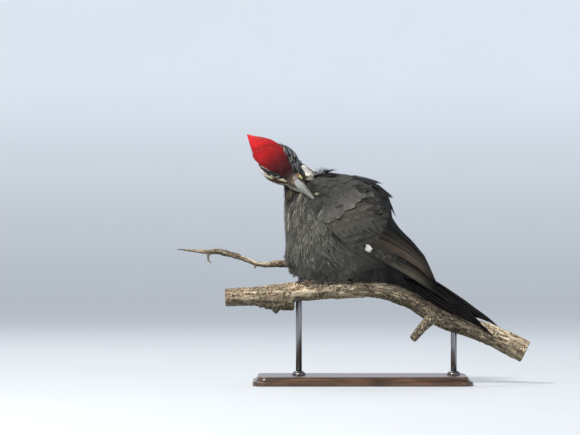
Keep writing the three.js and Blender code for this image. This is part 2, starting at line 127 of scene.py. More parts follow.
# [x, y, z, radius] of the branch, its burl and its twig
BRANCH = [
    [-182, -1, 115, 12], [-129, 0, 117.6, 12.8], [-84, 0, 123.2, 13.6], [-38, 0, 125.6, 12],
    [8, 0, 126.8, 11.6], [32, 0.5, 125, 12.8], [54, 1.5, 118, 13], [76, 3, 106.4, 13.2],
    [99, 4, 93.2, 14.6], [122, 5, 82.5, 13.4],
    [168, 5.5, 66.5, 14.2], [217, 5, 42.6, 14.6],
]
BURL = [[-88, 1, 127, 7], [-79, 1, 131.5, 10.2], [-66, 1, 132, 10.4], [-54, 2, 127.5, 8]]
TWIG = [
    [-72, 10, 124, 7.2], [-75, 20, 138, 6.4], [-81, 26, 150, 5.4], [-90, 28, 157.5, 4.8],
    [-101, 27, 159.8, 4.6],
    [-117, 22, 159.8, 4.9], [-129, 20, 158, 3.6], [-140, 19, 159.6, 3.5], [-170, 17, 171, 3.8],
    [-193, 16, 176.3, 3.9], [-204, 15, 175.6, 3.5], [-225, 14, 177.2, 2.3], [-247, 13, 179.2, 0.9],
]
BASE = {"length": 290, "width": 150, "height": 12, "corner": 18}
FOOT = {"x": -60, "out": 7}
SHANK_TOP = [-52, 8, 147]
TOES = [[-21, -4.5], [-22, 1.5], [6, 2.8], [14, -3]]
TOE_R = 2.3


# ---------------------------------------------------------------- small maths

def smooth(low, high, x):
    """From 0 at low to 1 at high, easing in and out."""
    t = np.clip((np.asarray(x, float) - low) / (high - low), 0, 1)
    return t * t * (3 - 2 * t)


def unit(v):
    """Vectors made one long."""
    return v / (np.linalg.norm(v, axis=-1, keepdims=True) + 1e-12)


def dot(a, b):
    return (a * b).sum(-1, keepdims=True)


def along(table, u):
    """Rows of numbers at shares u of the way through a table, on a smooth curve through its rows."""
    rows = np.array(table, float)
    last = len(rows) - 1
    x = np.clip(np.asarray(u, float), 0, 1) * last
    i = np.minimum(x.astype(int), last - 1)
    f = (x - i)[..., None]
    a, b, c, d = (rows[np.clip(i + k, 0, last)] for k in (-1, 0, 1, 2))
    return b + 0.5 * f * (c - a + f * (2 * a - 5 * b + 4 * c - d + f * (3 * (b - c) + d - a)))


def at_x(table, x, samples=600):
    """Rows of numbers where the table's first number is x."""
    dense = along(table, np.linspace(0, 1, samples))
    x = np.asarray(x, float)
    return np.stack([np.interp(x, dense[:, 0], dense[:, k]) for k in range(1, dense.shape[1])], -1)


def hashed(cell, seed):
    """A number from 0 to 1 for each cell of a grid."""
    n = cell[..., 0] * 374761393 + cell[..., 1] * 668265263 + cell[..., 2] * 1442695041 + seed * 1274126177
    n = (n ^ (n >> 13)) * 1274126177
    return ((n ^ (n >> 16)) & 0xFFFF) / 65535.0


def noise(p, seed=0):
    """Smooth noise from 0 to 1 at points p, one cell per unit; each seed gives another pattern."""
    p = np.asarray(p, float)
    base = np.floor(p).astype(np.int64)
    f = p - base
    f = f * f * (3 - 2 * f)
    total = 0
    for corner in np.ndindex(2, 2, 2):
        weight = np.prod(np.where(corner, f, 1 - f), -1)
        total = total + weight * hashed(base + np.array(corner), seed)
    return total


def layered(p, octaves, seed=0):
    """Noise about 0 in several sizes, each half as large and half as strong as the one before."""
    total, size = 0, 1.0
    for k in range(octaves):
        total = total + size * (noise(np.asarray(p) * 2**k, seed + k) - 0.5)
        size *= 0.5
    return total


def linear(r, g, b):
    """A colour from display values of 0 to 255 to the scene's linear light."""
    c = np.array([r, g, b], float) / 255
    return np.where(c < 0.04045, c / 12.92, ((c + 0.055) / 1.055) ** 2.4)


class Axes:
    """A frame of reference: an origin and three unit vectors, as rows."""

    def __init__(self, origin, rows):
        self.origin = np.array(origin, float)
        self.rows = np.array(rows, float)

    def world(self, p):
        return self.origin + np.asarray(p, float) @ self.rows

    def local(self, p):
        return (np.asarray(p, float) - self.origin) @ self.rows.T

    def direction(self, v):
        return np.asarray(v, float) @ self.rows


def body_axes():
    a = math.radians(BODY_SLOPE_DEG)
    return Axes(BODY_AT, [[math.cos(a), 0, -math.sin(a)], [0, 1, 0], [math.sin(a), 0, math.cos(a)]])


def head_axes():
    slope, out, roll = (math.radians(d) for d in (BILL_SLOPE_DEG, BILL_OUT_DEG, HEAD_ROLL_DEG))
    in_plane = Vector((math.cos(slope), 0, -math.sin(slope)))
    viewer = Vector((0, LEFT, 0))
    forward = in_plane * math.cos(out) + viewer * math.sin(out)
    crown = viewer * math.cos(out) - in_plane * math.sin(out)
    crown = Matrix.Rotation(-roll, 3, forward) @ crown
    return Axes(BILL_BASE_AT, [forward, crown.cross(forward), crown])


BODY = body_axes()
HEAD_AXES = head_axes()


# ---------------------------------------------------------------- meshes

def corners_of(o):
    """An object's points in millimetres."""
    co = np.zeros(len(o.data.vertices) * 3, np.float32)
    o.data.vertices.foreach_get("co", co)
    return co.reshape(-1, 3).astype(float) / MM


def faces_of(o):
    """An object's triangles."""
    o.data.calc_loop_triangles()
    faces = np.zeros(len(o.data.loop_triangles) * 3, np.int32)
    o.data.loop_triangles.foreach_get("vertices", faces)
    return faces.reshape(-1, 3)


def paint(mesh, tint):
    """Gives each point of a mesh its colour."""
    colour = np.ones((len(mesh.vertices), 4), np.float32)
    colour[:, :3] = tint
    mesh.color_attributes.new("Tint", "FLOAT_COLOR", "POINT").data.foreach_set("color", colour.ravel())


def make_mesh(name, points, faces, uv=None, bake=None, tint=None, extra=None):
    """An object from points in millimetres and triangles or quads, with per-point maps and colours."""
    points, faces = np.asarray(points, float), np.asarray(faces, np.int32)
    sides = faces.shape[1]
    mesh = bpy.data.meshes.new(name)
    mesh.vertices.add(len(points))
    mesh.vertices.foreach_set("co", (points * MM).astype(np.float32).ravel())
    mesh.loops.add(faces.size)
    mesh.loops.foreach_set("vertex_index", faces.ravel())
    mesh.polygons.add(len(faces))
    mesh.polygons.foreach_set("loop_start", np.arange(0, faces.size, sides, dtype=np.int32))
    mesh.update(calc_edges=True)
    mesh.polygons.foreach_set("use_smooth", np.ones(len(faces), bool))
    for layer, values in (("OFBake", bake), ("Vane", uv)):
        if values is not None:
            data = mesh.uv_layers.new(name=layer).data
            data.foreach_set("uv", np.asarray(values, np.float32)[faces.ravel()].ravel())
    if tint is not None:
        paint(mesh, tint)
    for key, values in (extra or {}).items():
        mesh.attributes.new(key, "FLOAT", "POINT").data.foreach_set("value", np.asarray(values, np.float32))
    o = bpy.data.objects.new(name, mesh)
    bpy.context.scene.collection.objects.link(o)
    return o


def finish_piece(o, material, nodes=()):
    """Its material, the body it rides on and the nodes it takes the place of."""
    o.data.materials.clear()
    o.data.materials.append(material)
    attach(o, "root")
    if nodes:
        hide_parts(*nodes)
    return o


def halved(quads):
    """Two triangles for each quad."""
    return np.concatenate([quads[:, [0, 1, 2]], quads[:, [0, 2, 3]]])


def grid_faces(rows, columns, closed=False):
    """Quads of a grid of rows by columns of points, closed round the columns if asked."""
    r, c = np.meshgrid(np.arange(rows - 1), np.arange(columns if closed else columns - 1), indexing="ij")
    a = r * columns + c
    b = r * columns + (c + 1) % columns
    return np.stack([a, b, b + columns, a + columns], -1).reshape(-1, 4)


def tube(points, radii, sides, bumps=None):
    """Points (rings, sides, 3) of a round limb along a line, with no twist."""
    points = np.asarray(points, float)
    tangents = unit(np.gradient(points, axis=0))
    up = np.array([0.0, 0.0, 1.0])
    ups = []
    for t in tangents:
        up = unit(up - t * (up @ t))
        ups.append(up)
    ups = np.array(ups)
    across = np.cross(tangents, ups)
    a = np.linspace(0, 2 * np.pi, sides, endpoint=False)
    ring = np.cos(a)[None, :, None] * ups[:, None] + np.sin(a)[None, :, None] * across[:, None]
    size = np.asarray(radii, float)[:, None] * (1 if bumps is None else bumps)
    return points[:, None] + ring * size[..., None]


# ---------------------------------------------------------------- the bird's form as a field of distances

class Field:
    """Distances from a surface, held on a grid of cells, negative inside."""

    def __init__(self, values, low, cell):
        self.values, self.low, self.cell = values, np.array(low, float), cell
        self.slope = np.stack(np.gradient(values, cell), -1)

    def _corners(self, p):
        q = (np.asarray(p, float) - self.low) / self.cell
        q = np.clip(q, 0.001, np.array(self.values.shape) - 1.001)
        i = q.astype(int)
        return i, q - i

    def _blend(self, source, p):
        i, f = self._corners(p)
        total = 0
        for c in np.ndindex(2, 2, 2):
            w = np.prod(np.where(c, f, 1 - f), -1)
            found = source[i[..., 0] + c[0], i[..., 1] + c[1], i[..., 2] + c[2]]
            total = total + (w if source.ndim == 3 else w[..., None]) * found
        return total

    def value(self, p):
        return self._blend(self.values, p)

    def normal(self, p):
        return unit(self._blend(self.slope, p))

    def project(self, p, level, rounds=3):
        for _ in range(rounds):
            p = p - self.normal(p) * (self.value(p) - level)[..., None]
        return p


CELL = 1.5
BAND = 10  # cells of distance kept on each side of a surface
GROW = 0.7  # mm by which the pieces swell so that they fuse
FLESH = ["head", "crest", "neck", "trunk", "leg_left", "leg_right", "wing_left", "wing_right"]
# How deep the skin lies under the tips of the coat.
COAT_DEPTH = {"head": 1.6, "crest": 2.6, "neck": 2.6, "trunk": 4.0, "leg_left": 3.0, "wing_left": 1.6}
COAT_DEPTH.update(leg_right=COAT_DEPTH["leg_left"], wing_right=COAT_DEPTH["wing_left"])


# Where the plumage is fluffed out beyond the solids: [world point, reach along x, y and z, height].
SWELLS = [
    (HEAD_AXES.world([BILL_LENGTH - 1, 0, 0]) + [0.5, 0, -1], (11.5, 15, 11.5), 9.6),  # over the bill's tip
    ([-98, 0, 166], (14, 40, 15), 4.5),  # the lower breast
    (HEAD_AXES.world([-30, 21, 8]), (10, 12, 10), 2.0),  # the ruffled left cheek
    ([-68, -4, 281], (7, 9, 7), 3.2),  # the white stripe of the nape
]


def distances(points, faces, low, shape, cell=CELL, band=BAND):
    """Distances from a closed mesh at the cells of a grid, up to a band of cells."""
    transform = openvdb.createLinearTransform(voxelSize=cell)
    grid = openvdb.FloatGrid.createLevelSetFromPolygons(
        points.astype(np.float32), triangles=faces.astype(np.uint32), transform=transform, halfWidth=band
    )
    values = np.zeros(shape, np.float32)
    grid.copyToArray(values, ijk=tuple(int(i) for i in low))
    return values


def polygons(values, low, level=0.0, adaptivity=0.0, cell=CELL):
    """Points and triangles, facing out, of a field's surface at a level."""
    grid = openvdb.FloatGrid(float(values.max()))
    grid.copyFromArray(values, ijk=tuple(int(i) for i in low))
    grid.transform = openvdb.createLinearTransform(voxelSize=cell)
    points, triangles, quads = grid.convertToPolygons(isovalue=level, adaptivity=adaptivity)
    triangles = np.asarray(triangles, np.int64).reshape(-1, 3)
    quads = np.asarray(quads, np.int64).reshape(-1, 4)
    faces, points = np.concatenate([triangles, halved(quads)]), np.asarray(points, float)
    a, b, c = (points[faces[:, k]] for k in range(3))
    if (np.cross(b, c) * a).sum() < 0:
        faces = faces[:, ::-1]
    return points, faces


def blurred(values, rounds):
    """A field softened over the neighbouring cells."""
    for _ in range(rounds):
        for axis in range(3):
            padded = np.concatenate([values.take([0], axis), values, values.take([-1], axis)], axis)
            n = values.shape[axis]
            before, here, after = (padded.take(range(k, k + n), axis) for k in range(3))
            values = 0.25 * before + 0.5 * here + 0.25 * after
    return values


def largest_piece(points, faces):
    """The mesh without the small islands that come loose from the largest one."""
    label = np.arange(len(points))
    while True:
        low = label[faces].min(1)
        new = label.copy()
        for k in range(3):
            np.minimum.at(new, faces[:, k], low)
        new = new[new]
        if (new == label).all():
            break
        label = new
    names, counts = np.unique(label[faces[:, 0]], return_counts=True)
    faces = faces[label[faces[:, 0]] == names[counts.argmax()]]
    used, index = np.unique(faces, return_inverse=True)
    return points[used], index.reshape(-1, 3)


def bird_fields():
    """The whole bird's field, zero on the coat's outside; each node's own field; the skin under the coat."""
    shapes = {n: (corners_of(NODES[n]), faces_of(NODES[n])) for n in FLESH}
    every = np.concatenate([p for p, _ in shapes.values()])
    margin = CELL * (BAND + 2)
    low = np.floor((every.min(0) - margin) / CELL).astype(int)
    shape = tuple(np.ceil((every.max(0) + margin) / CELL).astype(int) - low)
    each = {n: distances(p, f, low, shape) for n, (p, f) in shapes.items()}
    stack = np.stack([each[n] for n in FLESH])
    points, faces = polygons(stack.min(0), low, GROW)
    whole = distances(points, faces, low, shape) + GROW
    depth = np.array([COAT_DEPTH[n] for n in FLESH], np.float32)[stack.argmin(0)]
    skin = largest_piece(*polygons(whole + blurred(depth, 2), low, 0.0, 0.12))
    whole = blurred(whole, 2)
    ticks = [CELL * (start + np.arange(count)) for start, count in zip(low, shape)]
    place = np.stack(np.meshgrid(*ticks, indexing="ij"), -1)
    for centre, reach, height in SWELLS:
        whole = whole - height * np.exp(-(((place - centre) / reach) ** 2).sum(-1))
    field = Field(whole.astype(np.float32), low * CELL, CELL)
    nodes = {n: Field(each[n], low * CELL, CELL) for n in FLESH}
    return field, nodes, skin


COAT, NODE_FIELDS, (skin_points, skin_faces) = bird_fields()


# ---------------------------------------------------------------- which feathers lie where, and which way

def shares(p, softness=3.0):
    """How much each node of flesh owns a point: (points, nodes)."""
    d = np.stack([NODE_FIELDS[n].value(p) for n in FLESH], -1)
    w = np.exp(-(d - d.min(-1, keepdims=True)) / softness)
    return w / w.sum(-1, keepdims=True)


NECK_LINE = along(NECK, np.linspace(0, 1, 60))[:, :3]
BREAST_SOURCE = BODY.world([-72, 0, 34])


def flow_head(p):
    """Back from the bill, spreading a little over the cheeks."""
    local = HEAD_AXES.local(p)
    x, y, z = local[..., 0], local[..., 1], local[..., 2]
    out = np.stack([-np.ones_like(x), 0.012 * y, -0.006 * (x + 20) * (z < 5)], -1)
    return unit(HEAD_AXES.direction(out))


def flow_crest(p):
    """Back along the crown, closing in on the crest's tip."""
    to_tip = HEAD_AXES.world(CREST_TIP) - p
    near = smooth(45, 12, np.linalg.norm(to_tip, axis=-1, keepdims=True))
    return unit((0.55 + 0.8 * near) * unit(to_tip) + 0.6 * (1 - near) * HEAD_AXES.direction([-1, 0, 0.2]))


def flow_neck(p):
    """Down along the neck's middle line."""
    d = np.linalg.norm(p[..., None, :] - NECK_LINE, axis=-1)
    i = d.argmin(-1)
    down = unit(-np.gradient(NECK_LINE, axis=0))
    return down[i]


def flow_trunk(p):
    """Down and a little forward over the fluffed breast and belly, and back along the rest of the body."""
    local = BODY.local(p)
    front = smooth(18, -26, local[..., :1]) * smooth(44, 8, local[..., 2:])
    apron = smooth(34, 4, local[..., :1]) * smooth(-34, -58, local[..., 2:])
    share = np.maximum(front, apron)
    away = unit(p - BREAST_SOURCE)
    down = np.array([-0.26, 0, -1.0])
    tail = BODY.direction([1, 0, -0.10])
    return unit(share * (down + 0.25 * away) + (1 - share) * (tail + 0.3 * away))


def by_owner(p, softness, functions, otherwise):
    """Values at points, mixed from a function for each node that owns a share of them."""
    w = shares(p, softness)
    total = 0
    for k, n in enumerate(FLESH):
        if (w[..., k] > 0.01).any():
            total = total + w[..., k, None] * functions.get(n, otherwise)(p)
    return total


FLOWS = {"head": flow_head, "crest": flow_crest, "neck": flow_neck}


def flow_at(p):
    """Which way the feathers lie."""
    return unit(by_owner(p, 3.0, FLOWS, flow_trunk))


# ---------------------------------------------------------------- skin

def unwrapped(o):
    """Gives the object a map named OFBake, spread by the shape's own folds."""
    o.data.uv_layers.new(name="OFBake")
    bpy.context.view_layer.objects.active = o
    o.select_set(True)
    bpy.ops.object.mode_set(mode="EDIT")
    bpy.ops.mesh.select_all(action="SELECT")
    bpy.ops.uv.smart_project(angle_limit=1.15, island_margin=0.004)
    bpy.ops.object.mode_set(mode="OBJECT")
    o.select_set(False)
    uv = np.zeros(len(o.data.loops) * 2, np.float32)
    o.data.uv_layers["OFBake"].data.foreach_get("uv", uv)
    return uv.reshape(-1, 3, 2)


skin_object = make_mesh("skin", skin_points, skin_faces)
SKIN_UV = unwrapped(skin_object)
SKIN_TRI = skin_points[skin_faces]
SKIN_SIDES = np.cross(SKIN_TRI[:, 1] - SKIN_TRI[:, 0], SKIN_TRI[:, 2] - SKIN_TRI[:, 0])
SKIN_AREA = np.linalg.norm(SKIN_SIDES, axis=-1) / 2
SKIN_MIDDLE = SKIN_TRI.mean(1)
SKIN_SHARES = shares(SKIN_MIDDLE)
SKIN_OWNER = np.array(FLESH)[SKIN_SHARES.argmax(-1)]


def scattered(chosen, spacing):
    """Roots on the chosen faces of the skin, none nearer than the spacing: places in space and on the map."""
    index = np.flatnonzero(chosen)
    area = SKIN_AREA[index]
    count = int(7 * area.sum() / spacing**2)
    face = index[rng.choice(len(index), count, p=area / area.sum())]
    a, b = rng.random((2, count))
    flip = a + b > 1
    a, b = np.where(flip, 1 - a, a), np.where(flip, 1 - b, b)
    weights = np.stack([1 - a - b, a, b], -1)[..., None]
    points, uv = (SKIN_TRI[face] * weights).sum(1), (SKIN_UV[face] * weights).sum(1)
    kept, cells = [], {}
    keys = np.floor(points / spacing).astype(int)
    around = list(itertools.product((-1, 0, 1), repeat=3))
    for i, (key, p) in enumerate(zip(map(tuple, keys), points.tolist())):
        beside = (cells.get((key[0] + dx, key[1] + dy, key[2] + dz), ()) for dx, dy, dz in around)
        if all(math.dist(p, q) >= spacing for found in beside for q in found):
            cells.setdefault(key, []).append(p)
            kept.append(i)
    return points[kept], uv[kept]


def nearest_uv(points):
    """The map's place under points that were not drawn from the skin's faces."""
    found = []
    for chunk in np.array_split(points, max(1, len(points) // 200)):
        d = ((chunk[:, None] - SKIN_MIDDLE) ** 2).sum(-1)
        found.append(d.argmin(1))
    return SKIN_UV[np.concatenate(found)].mean(1)


# ---------------------------------------------------------------- plumes

def barbed(count, width, sweep=0.2):
    """A plume of separate barbs on both sides of its shaft: shares s along and u across, triangles, edges.

    width(s) is the outline's half width as a share of the greatest. An edge is 0 at the shaft, 1 at a tip.
    """
    s, u, edge, faces = [], [], [], []
    step = 1.0 / count
    thick = 1.1 * step
    for k in range(count):
        base = (k + 0.2) * step * (1 - sweep * 0.4)
        for side in (-1, 1):
            wobble = 0.06 * math.sin(7.3 * k + side)
            reach = width(min(1, base + sweep * 0.6)) * (1 + wobble)
            end = min(1.0, base + sweep * 0.55 * (1 + k / count))
            middle = base + 0.55 * (end - base)
            n = len(s)
            s += [base - 0.45 * thick, base + 0.55 * thick, middle - 0.42 * thick, middle + 0.5 * thick, end]
            u += [side * share for share in (0.02, 0.02, 0.58 * reach, 0.52 * reach, reach)]
            edge += [0.0, 0.0, 0.5, 0.5, 1.0]
            leaf = [(0, 1, 3), (0, 3, 2), (2, 3, 4)]
            faces += [[n + i for i in (f if side > 0 else f[::-1])] for f in leaf]
    n = len(s)
    s += [0.0, 0.0, 0.55, 0.55, 1.0]
    u += [-0.05, 0.05, -0.03, 0.03, 0.0]
    faces += [[n, n + 1, n + 3], [n, n + 3, n + 2], [n + 2, n + 3, n + 4]]
    edge += [0.0, 0.0, 0.0, 0.0, 0.6]
    return np.clip(np.array(s), 0, 1.02), np.array(u), np.array(faces), np.array(edge)


def vane(rows, columns, width, notch=0.0):
    """A closed vane of rows by columns, with teeth along its edges where notch is above 0."""
    t, v = np.meshgrid(np.linspace(0, 1, rows), np.linspace(-1, 1, columns), indexing="ij")
    teeth = np.where(np.arange(rows) % 2 == 0, 1.0, 1 - notch)[:, None]
    edge = np.abs(v) > 0.99
    u = v * np.array([width(x) for x in t[:, 0]])[:, None] * np.where(edge, teeth, 1)
    s = t + np.where(edge, 0.5 * notch / rows, 0) - 0.06 * v**2 * t
    rim = np.maximum(np.abs(v) ** 3, smooth(0.82, 1.0, t))
    return s.ravel(), u.ravel(), halved(grid_faces(rows, columns)), rim.ravel()


def strand(rows):
    """A hair-thin barb that lies loose on the coat."""
    t, v = np.meshgrid(np.linspace(0, 1, rows), [-1.0, 1.0], indexing="ij")
    width = np.sin(np.pi * np.clip(t * 0.86 + 0.1, 0, 1))
    return t.ravel(), (v * width).ravel(), halved(grid_faces(rows, 2)), t.ravel()


def strung(start, end, shape, half, across, bow):
    """Points of plumes from start to end, (plumes, points, 3), whose middles stand off by bow."""
    s, u = shape[:2]
    t = np.clip(s, 0, 1)[None, :, None]
    middle = start[:, None] * (1 - t) + end[:, None] * t + bow * (4 * t * (1 - t))
    return middle + across[:, None] * (half * u)[None, :, None]


def rounded(s):
    """The outline of a contour feather."""
    return min(1.0, (s / 0.35)) ** 0.7 * math.sqrt(max(0.0, 1 - max(0.0, (s - 0.55) / 0.47) ** 2))


def slender(s):
    """The outline of a crest feather."""
    return min(1.0, (s / 0.25)) ** 0.7 * (1 - smooth(0.45, 1.06, s))


def wispy(s):
    """The outline of a loose feather with a drawn-out end."""
    return min(1.0, (s / 0.4)) ** 0.8 * (1 - 0.75 * float(smooth(0.5, 1.05, s)))


def laid(
    roots, shape, length, half, low, high, turn=0.0, camber=0.25, free=0.0, flow=flow_at, curl=1.3, steps=6
):
    """Points of a plume on each root, (plumes, points, 3), that walks along the coat's lie and rises to high.

    turn swings it from the lie, camber lowers its edges, and free lets its end leave the coat.
    """
    s, u = shape[:2]
    n = len(roots)
    length, half, turn, free = (np.broadcast_to(v, n)[:, None] for v in (length, half, turn, free))
    low, high = (np.broadcast_to(v, n) for v in (low, high))
    p = COAT.project(np.array(roots, float), low)
    path, ahead = [p], None
    for k in range(steps):
        normal = COAT.normal(p)
        d = flow(p)
        d = unit(d - dot(d, normal) * normal)
        d = d * np.cos(turn) + np.cross(normal, d) * np.sin(turn)
        if ahead is not None:
            d = unit(d + 0.8 * ahead)
        ahead = d
        share = (k + 1) / steps
        step = p + d * length / steps
        level = low + (high - low) * share**curl
        onto = COAT.project(step, level, 2)
        loose = free * share**2
        p = onto * (1 - loose) + step * loose
        path.append(p)
    path = np.stack(path, 1)
    x = np.clip(s, 0, 1) * steps
    i = np.minimum(x.astype(int), steps - 1)
    f = (x - i)[None, :, None]
    centre = path[:, i] * (1 - f) + path[:, i + 1] * f
    tangent = unit(np.gradient(path, axis=1))
    tangent = unit(tangent[:, i] * (1 - f) + tangent[:, i + 1] * f)
    normal = COAT.normal(centre)
    level = COAT.value(centre)
    across = unit(np.cross(normal, tangent))
    points = centre + across * (half * u)[..., None]
    drop = camber * half * u**2
    hold = (1 - free * np.clip(s, 0, 1) ** 2)[..., None]
    snapped = COAT.project(points, level - drop, 2)
    return snapped * hold + (points - normal * drop[..., None]) * (1 - hold)


BAKE_PATCH = 0.003  # how wide each plume's place on the map is


class Piece:
    """One coat piece: plumes gathered for a single mesh, with random numbers of its own."""

    def __init__(self, name):
        global rng
        rng = np.random.default_rng(list(name.encode()))
        self.name, self.count = name, 0
        self.points, self.faces, self.uv, self.bake, self.tint = [], [], [], [], []

    def add(self, points, shape, bake, tint):
        """points and tint are (plumes, points, 3); bake is each plume's place on the skin's map."""
        s, u, faces = shape[:3]
        plumes, m = points.shape[:2]
        offsets = self.count + m * np.arange(plumes)
        self.faces.append((faces[None] + offsets[:, None, None]).reshape(-1, 3))
        self.points.append(points.reshape(-1, 3))
        vane_uv = np.stack([0.5 + 0.5 * np.clip(u, -1, 1), np.clip(s, 0, 1)], -1)
        self.uv.append(np.broadcast_to(vane_uv, (plumes, m, 2)).reshape(-1, 2))
        self.bake.append((bake[:, None] + (vane_uv - 0.5) * BAKE_PATCH).reshape(-1, 2))
        self.tint.append(np.clip(np.broadcast_to(tint, points.shape), 0, 1).reshape(-1, 3))
        self.count += plumes * m

    def build(self, material, slot, nodes=()):
        parts = (np.concatenate(x) for x in (self.points, self.faces, self.uv, self.bake, self.tint))
        finish_piece(make_mesh(self.name, *parts), material, nodes)


# ---------------------------------------------------------------- markings

ASH = linear(104, 104, 100)
PALE = linear(196, 192, 180)
WHITE = linear(248, 246, 240)
CREAM = linear(226, 222, 190)
OLIVE = linear(112, 106, 82)


def mixed(a, b, share):
    """Colour a changed into b by a share, one colour for each share."""
    return a + (b - a) * np.asarray(share)[..., None]


def cheek_angle(local):
    """How far up the side of the head a point lies, in degrees: 90 at the crown and -90 at the throat."""
    x, y, z = local[..., 0], local[..., 1], local[..., 2]
    crown, throat, half = np.moveaxis(at_x(HEAD, x), -1, 0)
    rise = (crown - throat) / 2
    return np.degrees(np.arctan2((z - (crown + throat) / 2) / rise, np.abs(y) / half))


# The bands of each side of the face, going down from the crown: [x, angle] pairs along the head where each
# ends, and the colour below. The left side is squeezed as the head turns, so its bands sit closer together.
BANDS = {
    "right": [
        ([(-70, 45), (-44, 47), (-34, 50), (-26, 50), (-10, 58), (0, 66)], "line"),
        ([(-70, 40), (-44, 43), (-34, 47), (-26, 52), (-10, 60), (0, 67)], "black"),
        ([(-70, 18), (-44, 24), (-29, 30), (-18, 35), (-11, 42), (0, 47)], "cream"),
        ([(-70, -8), (-44, 4), (-32, 14), (-15, 27), (-7, 34), (0, 40)], "malar"),
        ([(-70, -16), (-44, -6), (-30, 5), (-13, 18), (-5, 24), (0, 28)], "black"),
        ([(-70, -22), (-44, -14), (-30, -3), (-18, 2), (-9, 7), (0, 12)], "pale"),
        ([(-70, -26), (-44, -20), (-30, -12), (-18, -9), (-9, -4), (0, 2)], "black"),
    ],
    "left": [
        ([(-70, 40), (-45, 56), (-34, 54), (-23, 56), (-13, 59), (0, 64)], "line"),
        ([(-70, 32), (-48, 47), (-38, 50), (-28, 56), (-13, 60), (0, 65)], "black"),
        ([(-70, -30), (-30, -30), (-22, 8), (-13, 12), (0, 20)], "cream"),
        ([(-70, -40), (-30, -40), (-23, 0), (-13, 2), (0, 6)], "black"),
    ],
}
# The malar's red is darkened as painted shade.
BAND_COLOURS = {
    "black": linear(26, 26, 29), "cream": linear(222, 217, 184), "malar": linear(104, 42, 34),
    "pale": linear(170, 168, 150), "line": linear(226, 226, 206),
}


# From the bright crest to the dark forehead: the head's x and the red there, darkened forward as painted
# shade.
CROWN_RED_AND_SHADE = {
    -84: (218, 20, 34), -64: (196, 14, 26), -50: (172, 10, 20), -38: (136, 10, 20), -27: (96, 12, 20),
    -16: (70, 18, 24), -6: (50, 40, 40),
}


# The crown's red along the head, with its painted shade towards the forehead.
def crown_red_and_shade(x):
    channels = np.array([linear(*red) for red in CROWN_RED_AND_SHADE.values()]).T
    return np.stack([np.interp(x, list(CROWN_RED_AND_SHADE), channel) for channel in channels], -1)


def head_marks(p):
    """The bands of both sides of the face under the red crown, with a painted silvery sheen on the left
    cheek.
    """
    local = HEAD_AXES.local(p)
    x = local[..., 0]
    a = cheek_angle(local) + 4 * (noise(p / 2.6, 11) - 0.5)
    soft = 1.6  # degrees
    colours = {}
    for side, bands in BANDS.items():
        colour = crown_red_and_shade(x)
        for table, name in bands:
            edge = np.interp(x, *np.array(table, float).T)
            colour = mixed(colour, BAND_COLOURS[name], 1 - smooth(edge - soft, edge + soft, a))
        colours[side] = colour
    # Painted sheen: silvery grey streaks over the black left cheek, where its feathers catch the light.
    cheek_sheen = smooth(0.36, 0.7, noise(np.stack([x / 13, a / 3.4, 0 * x], -1), 12))
    cheek_sheen = cheek_sheen * smooth(6, 14, a) * smooth(53, 48, a) * smooth(-8, -16, x)
    colours["left"] = mixed(colours["left"], linear(124, 128, 136), 0.85 * cheek_sheen)
    white = smooth(-32, -44, x) * smooth(-4, 4, a) * smooth(31, 26, a)
    colours["right"] = mixed(colours["right"], WHITE, white)
    colour = mixed(colours["right"], colours["left"], smooth(-2, 2, local[..., 1]))
    forehead = smooth(-9, -3, x) * smooth(30, 55, a)
    return mixed(colour, linear(64, 55, 52), forehead)


def crest_marks(p):
    x = HEAD_AXES.local(p)[..., 0]
    return crown_red_and_shade(x + 2 * (noise(p / 6.0, 5) - 0.5))


# The white stripes run from the cheeks down the sides of the neck.
LEFT_STRIPE = np.array([[-75, 4, 289], [-70.5, 1, 285.5], [-68, -5, 280.5], [-66.5, -11, 276]], float)
RIGHT_STRIPE = np.array([[-132, -4, 281], [-122, -8, 264], [-112, -10, 246], [-102, -16, 230]], float)


def near_line(p, line):
    """The distance of points from a smooth curve through the line's rows."""
    dense_line = along(line, np.linspace(0, 1, 40))
    return np.linalg.norm(p[..., None, :] - dense_line, axis=-1).min(-1)


def nape_white(p):
    """1 on the white stripe of the nape and 0 off it."""
    return 1 - smooth(5.8, 7.0, near_line(p, LEFT_STRIPE) + 2.0 * (noise(p / 3.0, 8) - 0.5))


def neck_marks(p):
    """Black, with an olive and a maroon patch below the jaw and the white stripes."""
    colour = np.broadcast_to(linear(24, 24, 25), p.shape)
    olive = 0.75 * (1 - smooth(5, 12, np.linalg.norm(p - [-93, -17, 256], axis=-1)))
    colour = mixed(colour, OLIVE, olive + 0.25 * smooth(0.6, 0.8, noise(p / 6.0, 31)))
    maroon = np.linalg.norm((p - [-101, -8, 245]) / [1, 1, 1.6], axis=-1)
    colour = mixed(colour, linear(88, 40, 38), 0.8 * (1 - smooth(4, 8, maroon)))
    other = 1 - smooth(5.5, 8.0, near_line(p, RIGHT_STRIPE) + 4 * (noise(p / 3.0, 9) - 0.5))
    return mixed(mixed(colour, CREAM, 0.75 * other), WHITE, nape_white(p))


def bill_tip_shade(p):
    """Painted shade in the fold along the bill's tip, where it works in the plumage of the shoulder."""
    line = np.array([[-71, -44, 268], [-66, -46, 260], [-60, -48, 250]], float)
    flat = [1, 0.35, 1]
    return 1 - 0.66 * (1 - smooth(3.0, 9.5, near_line(p * flat, line * flat)))


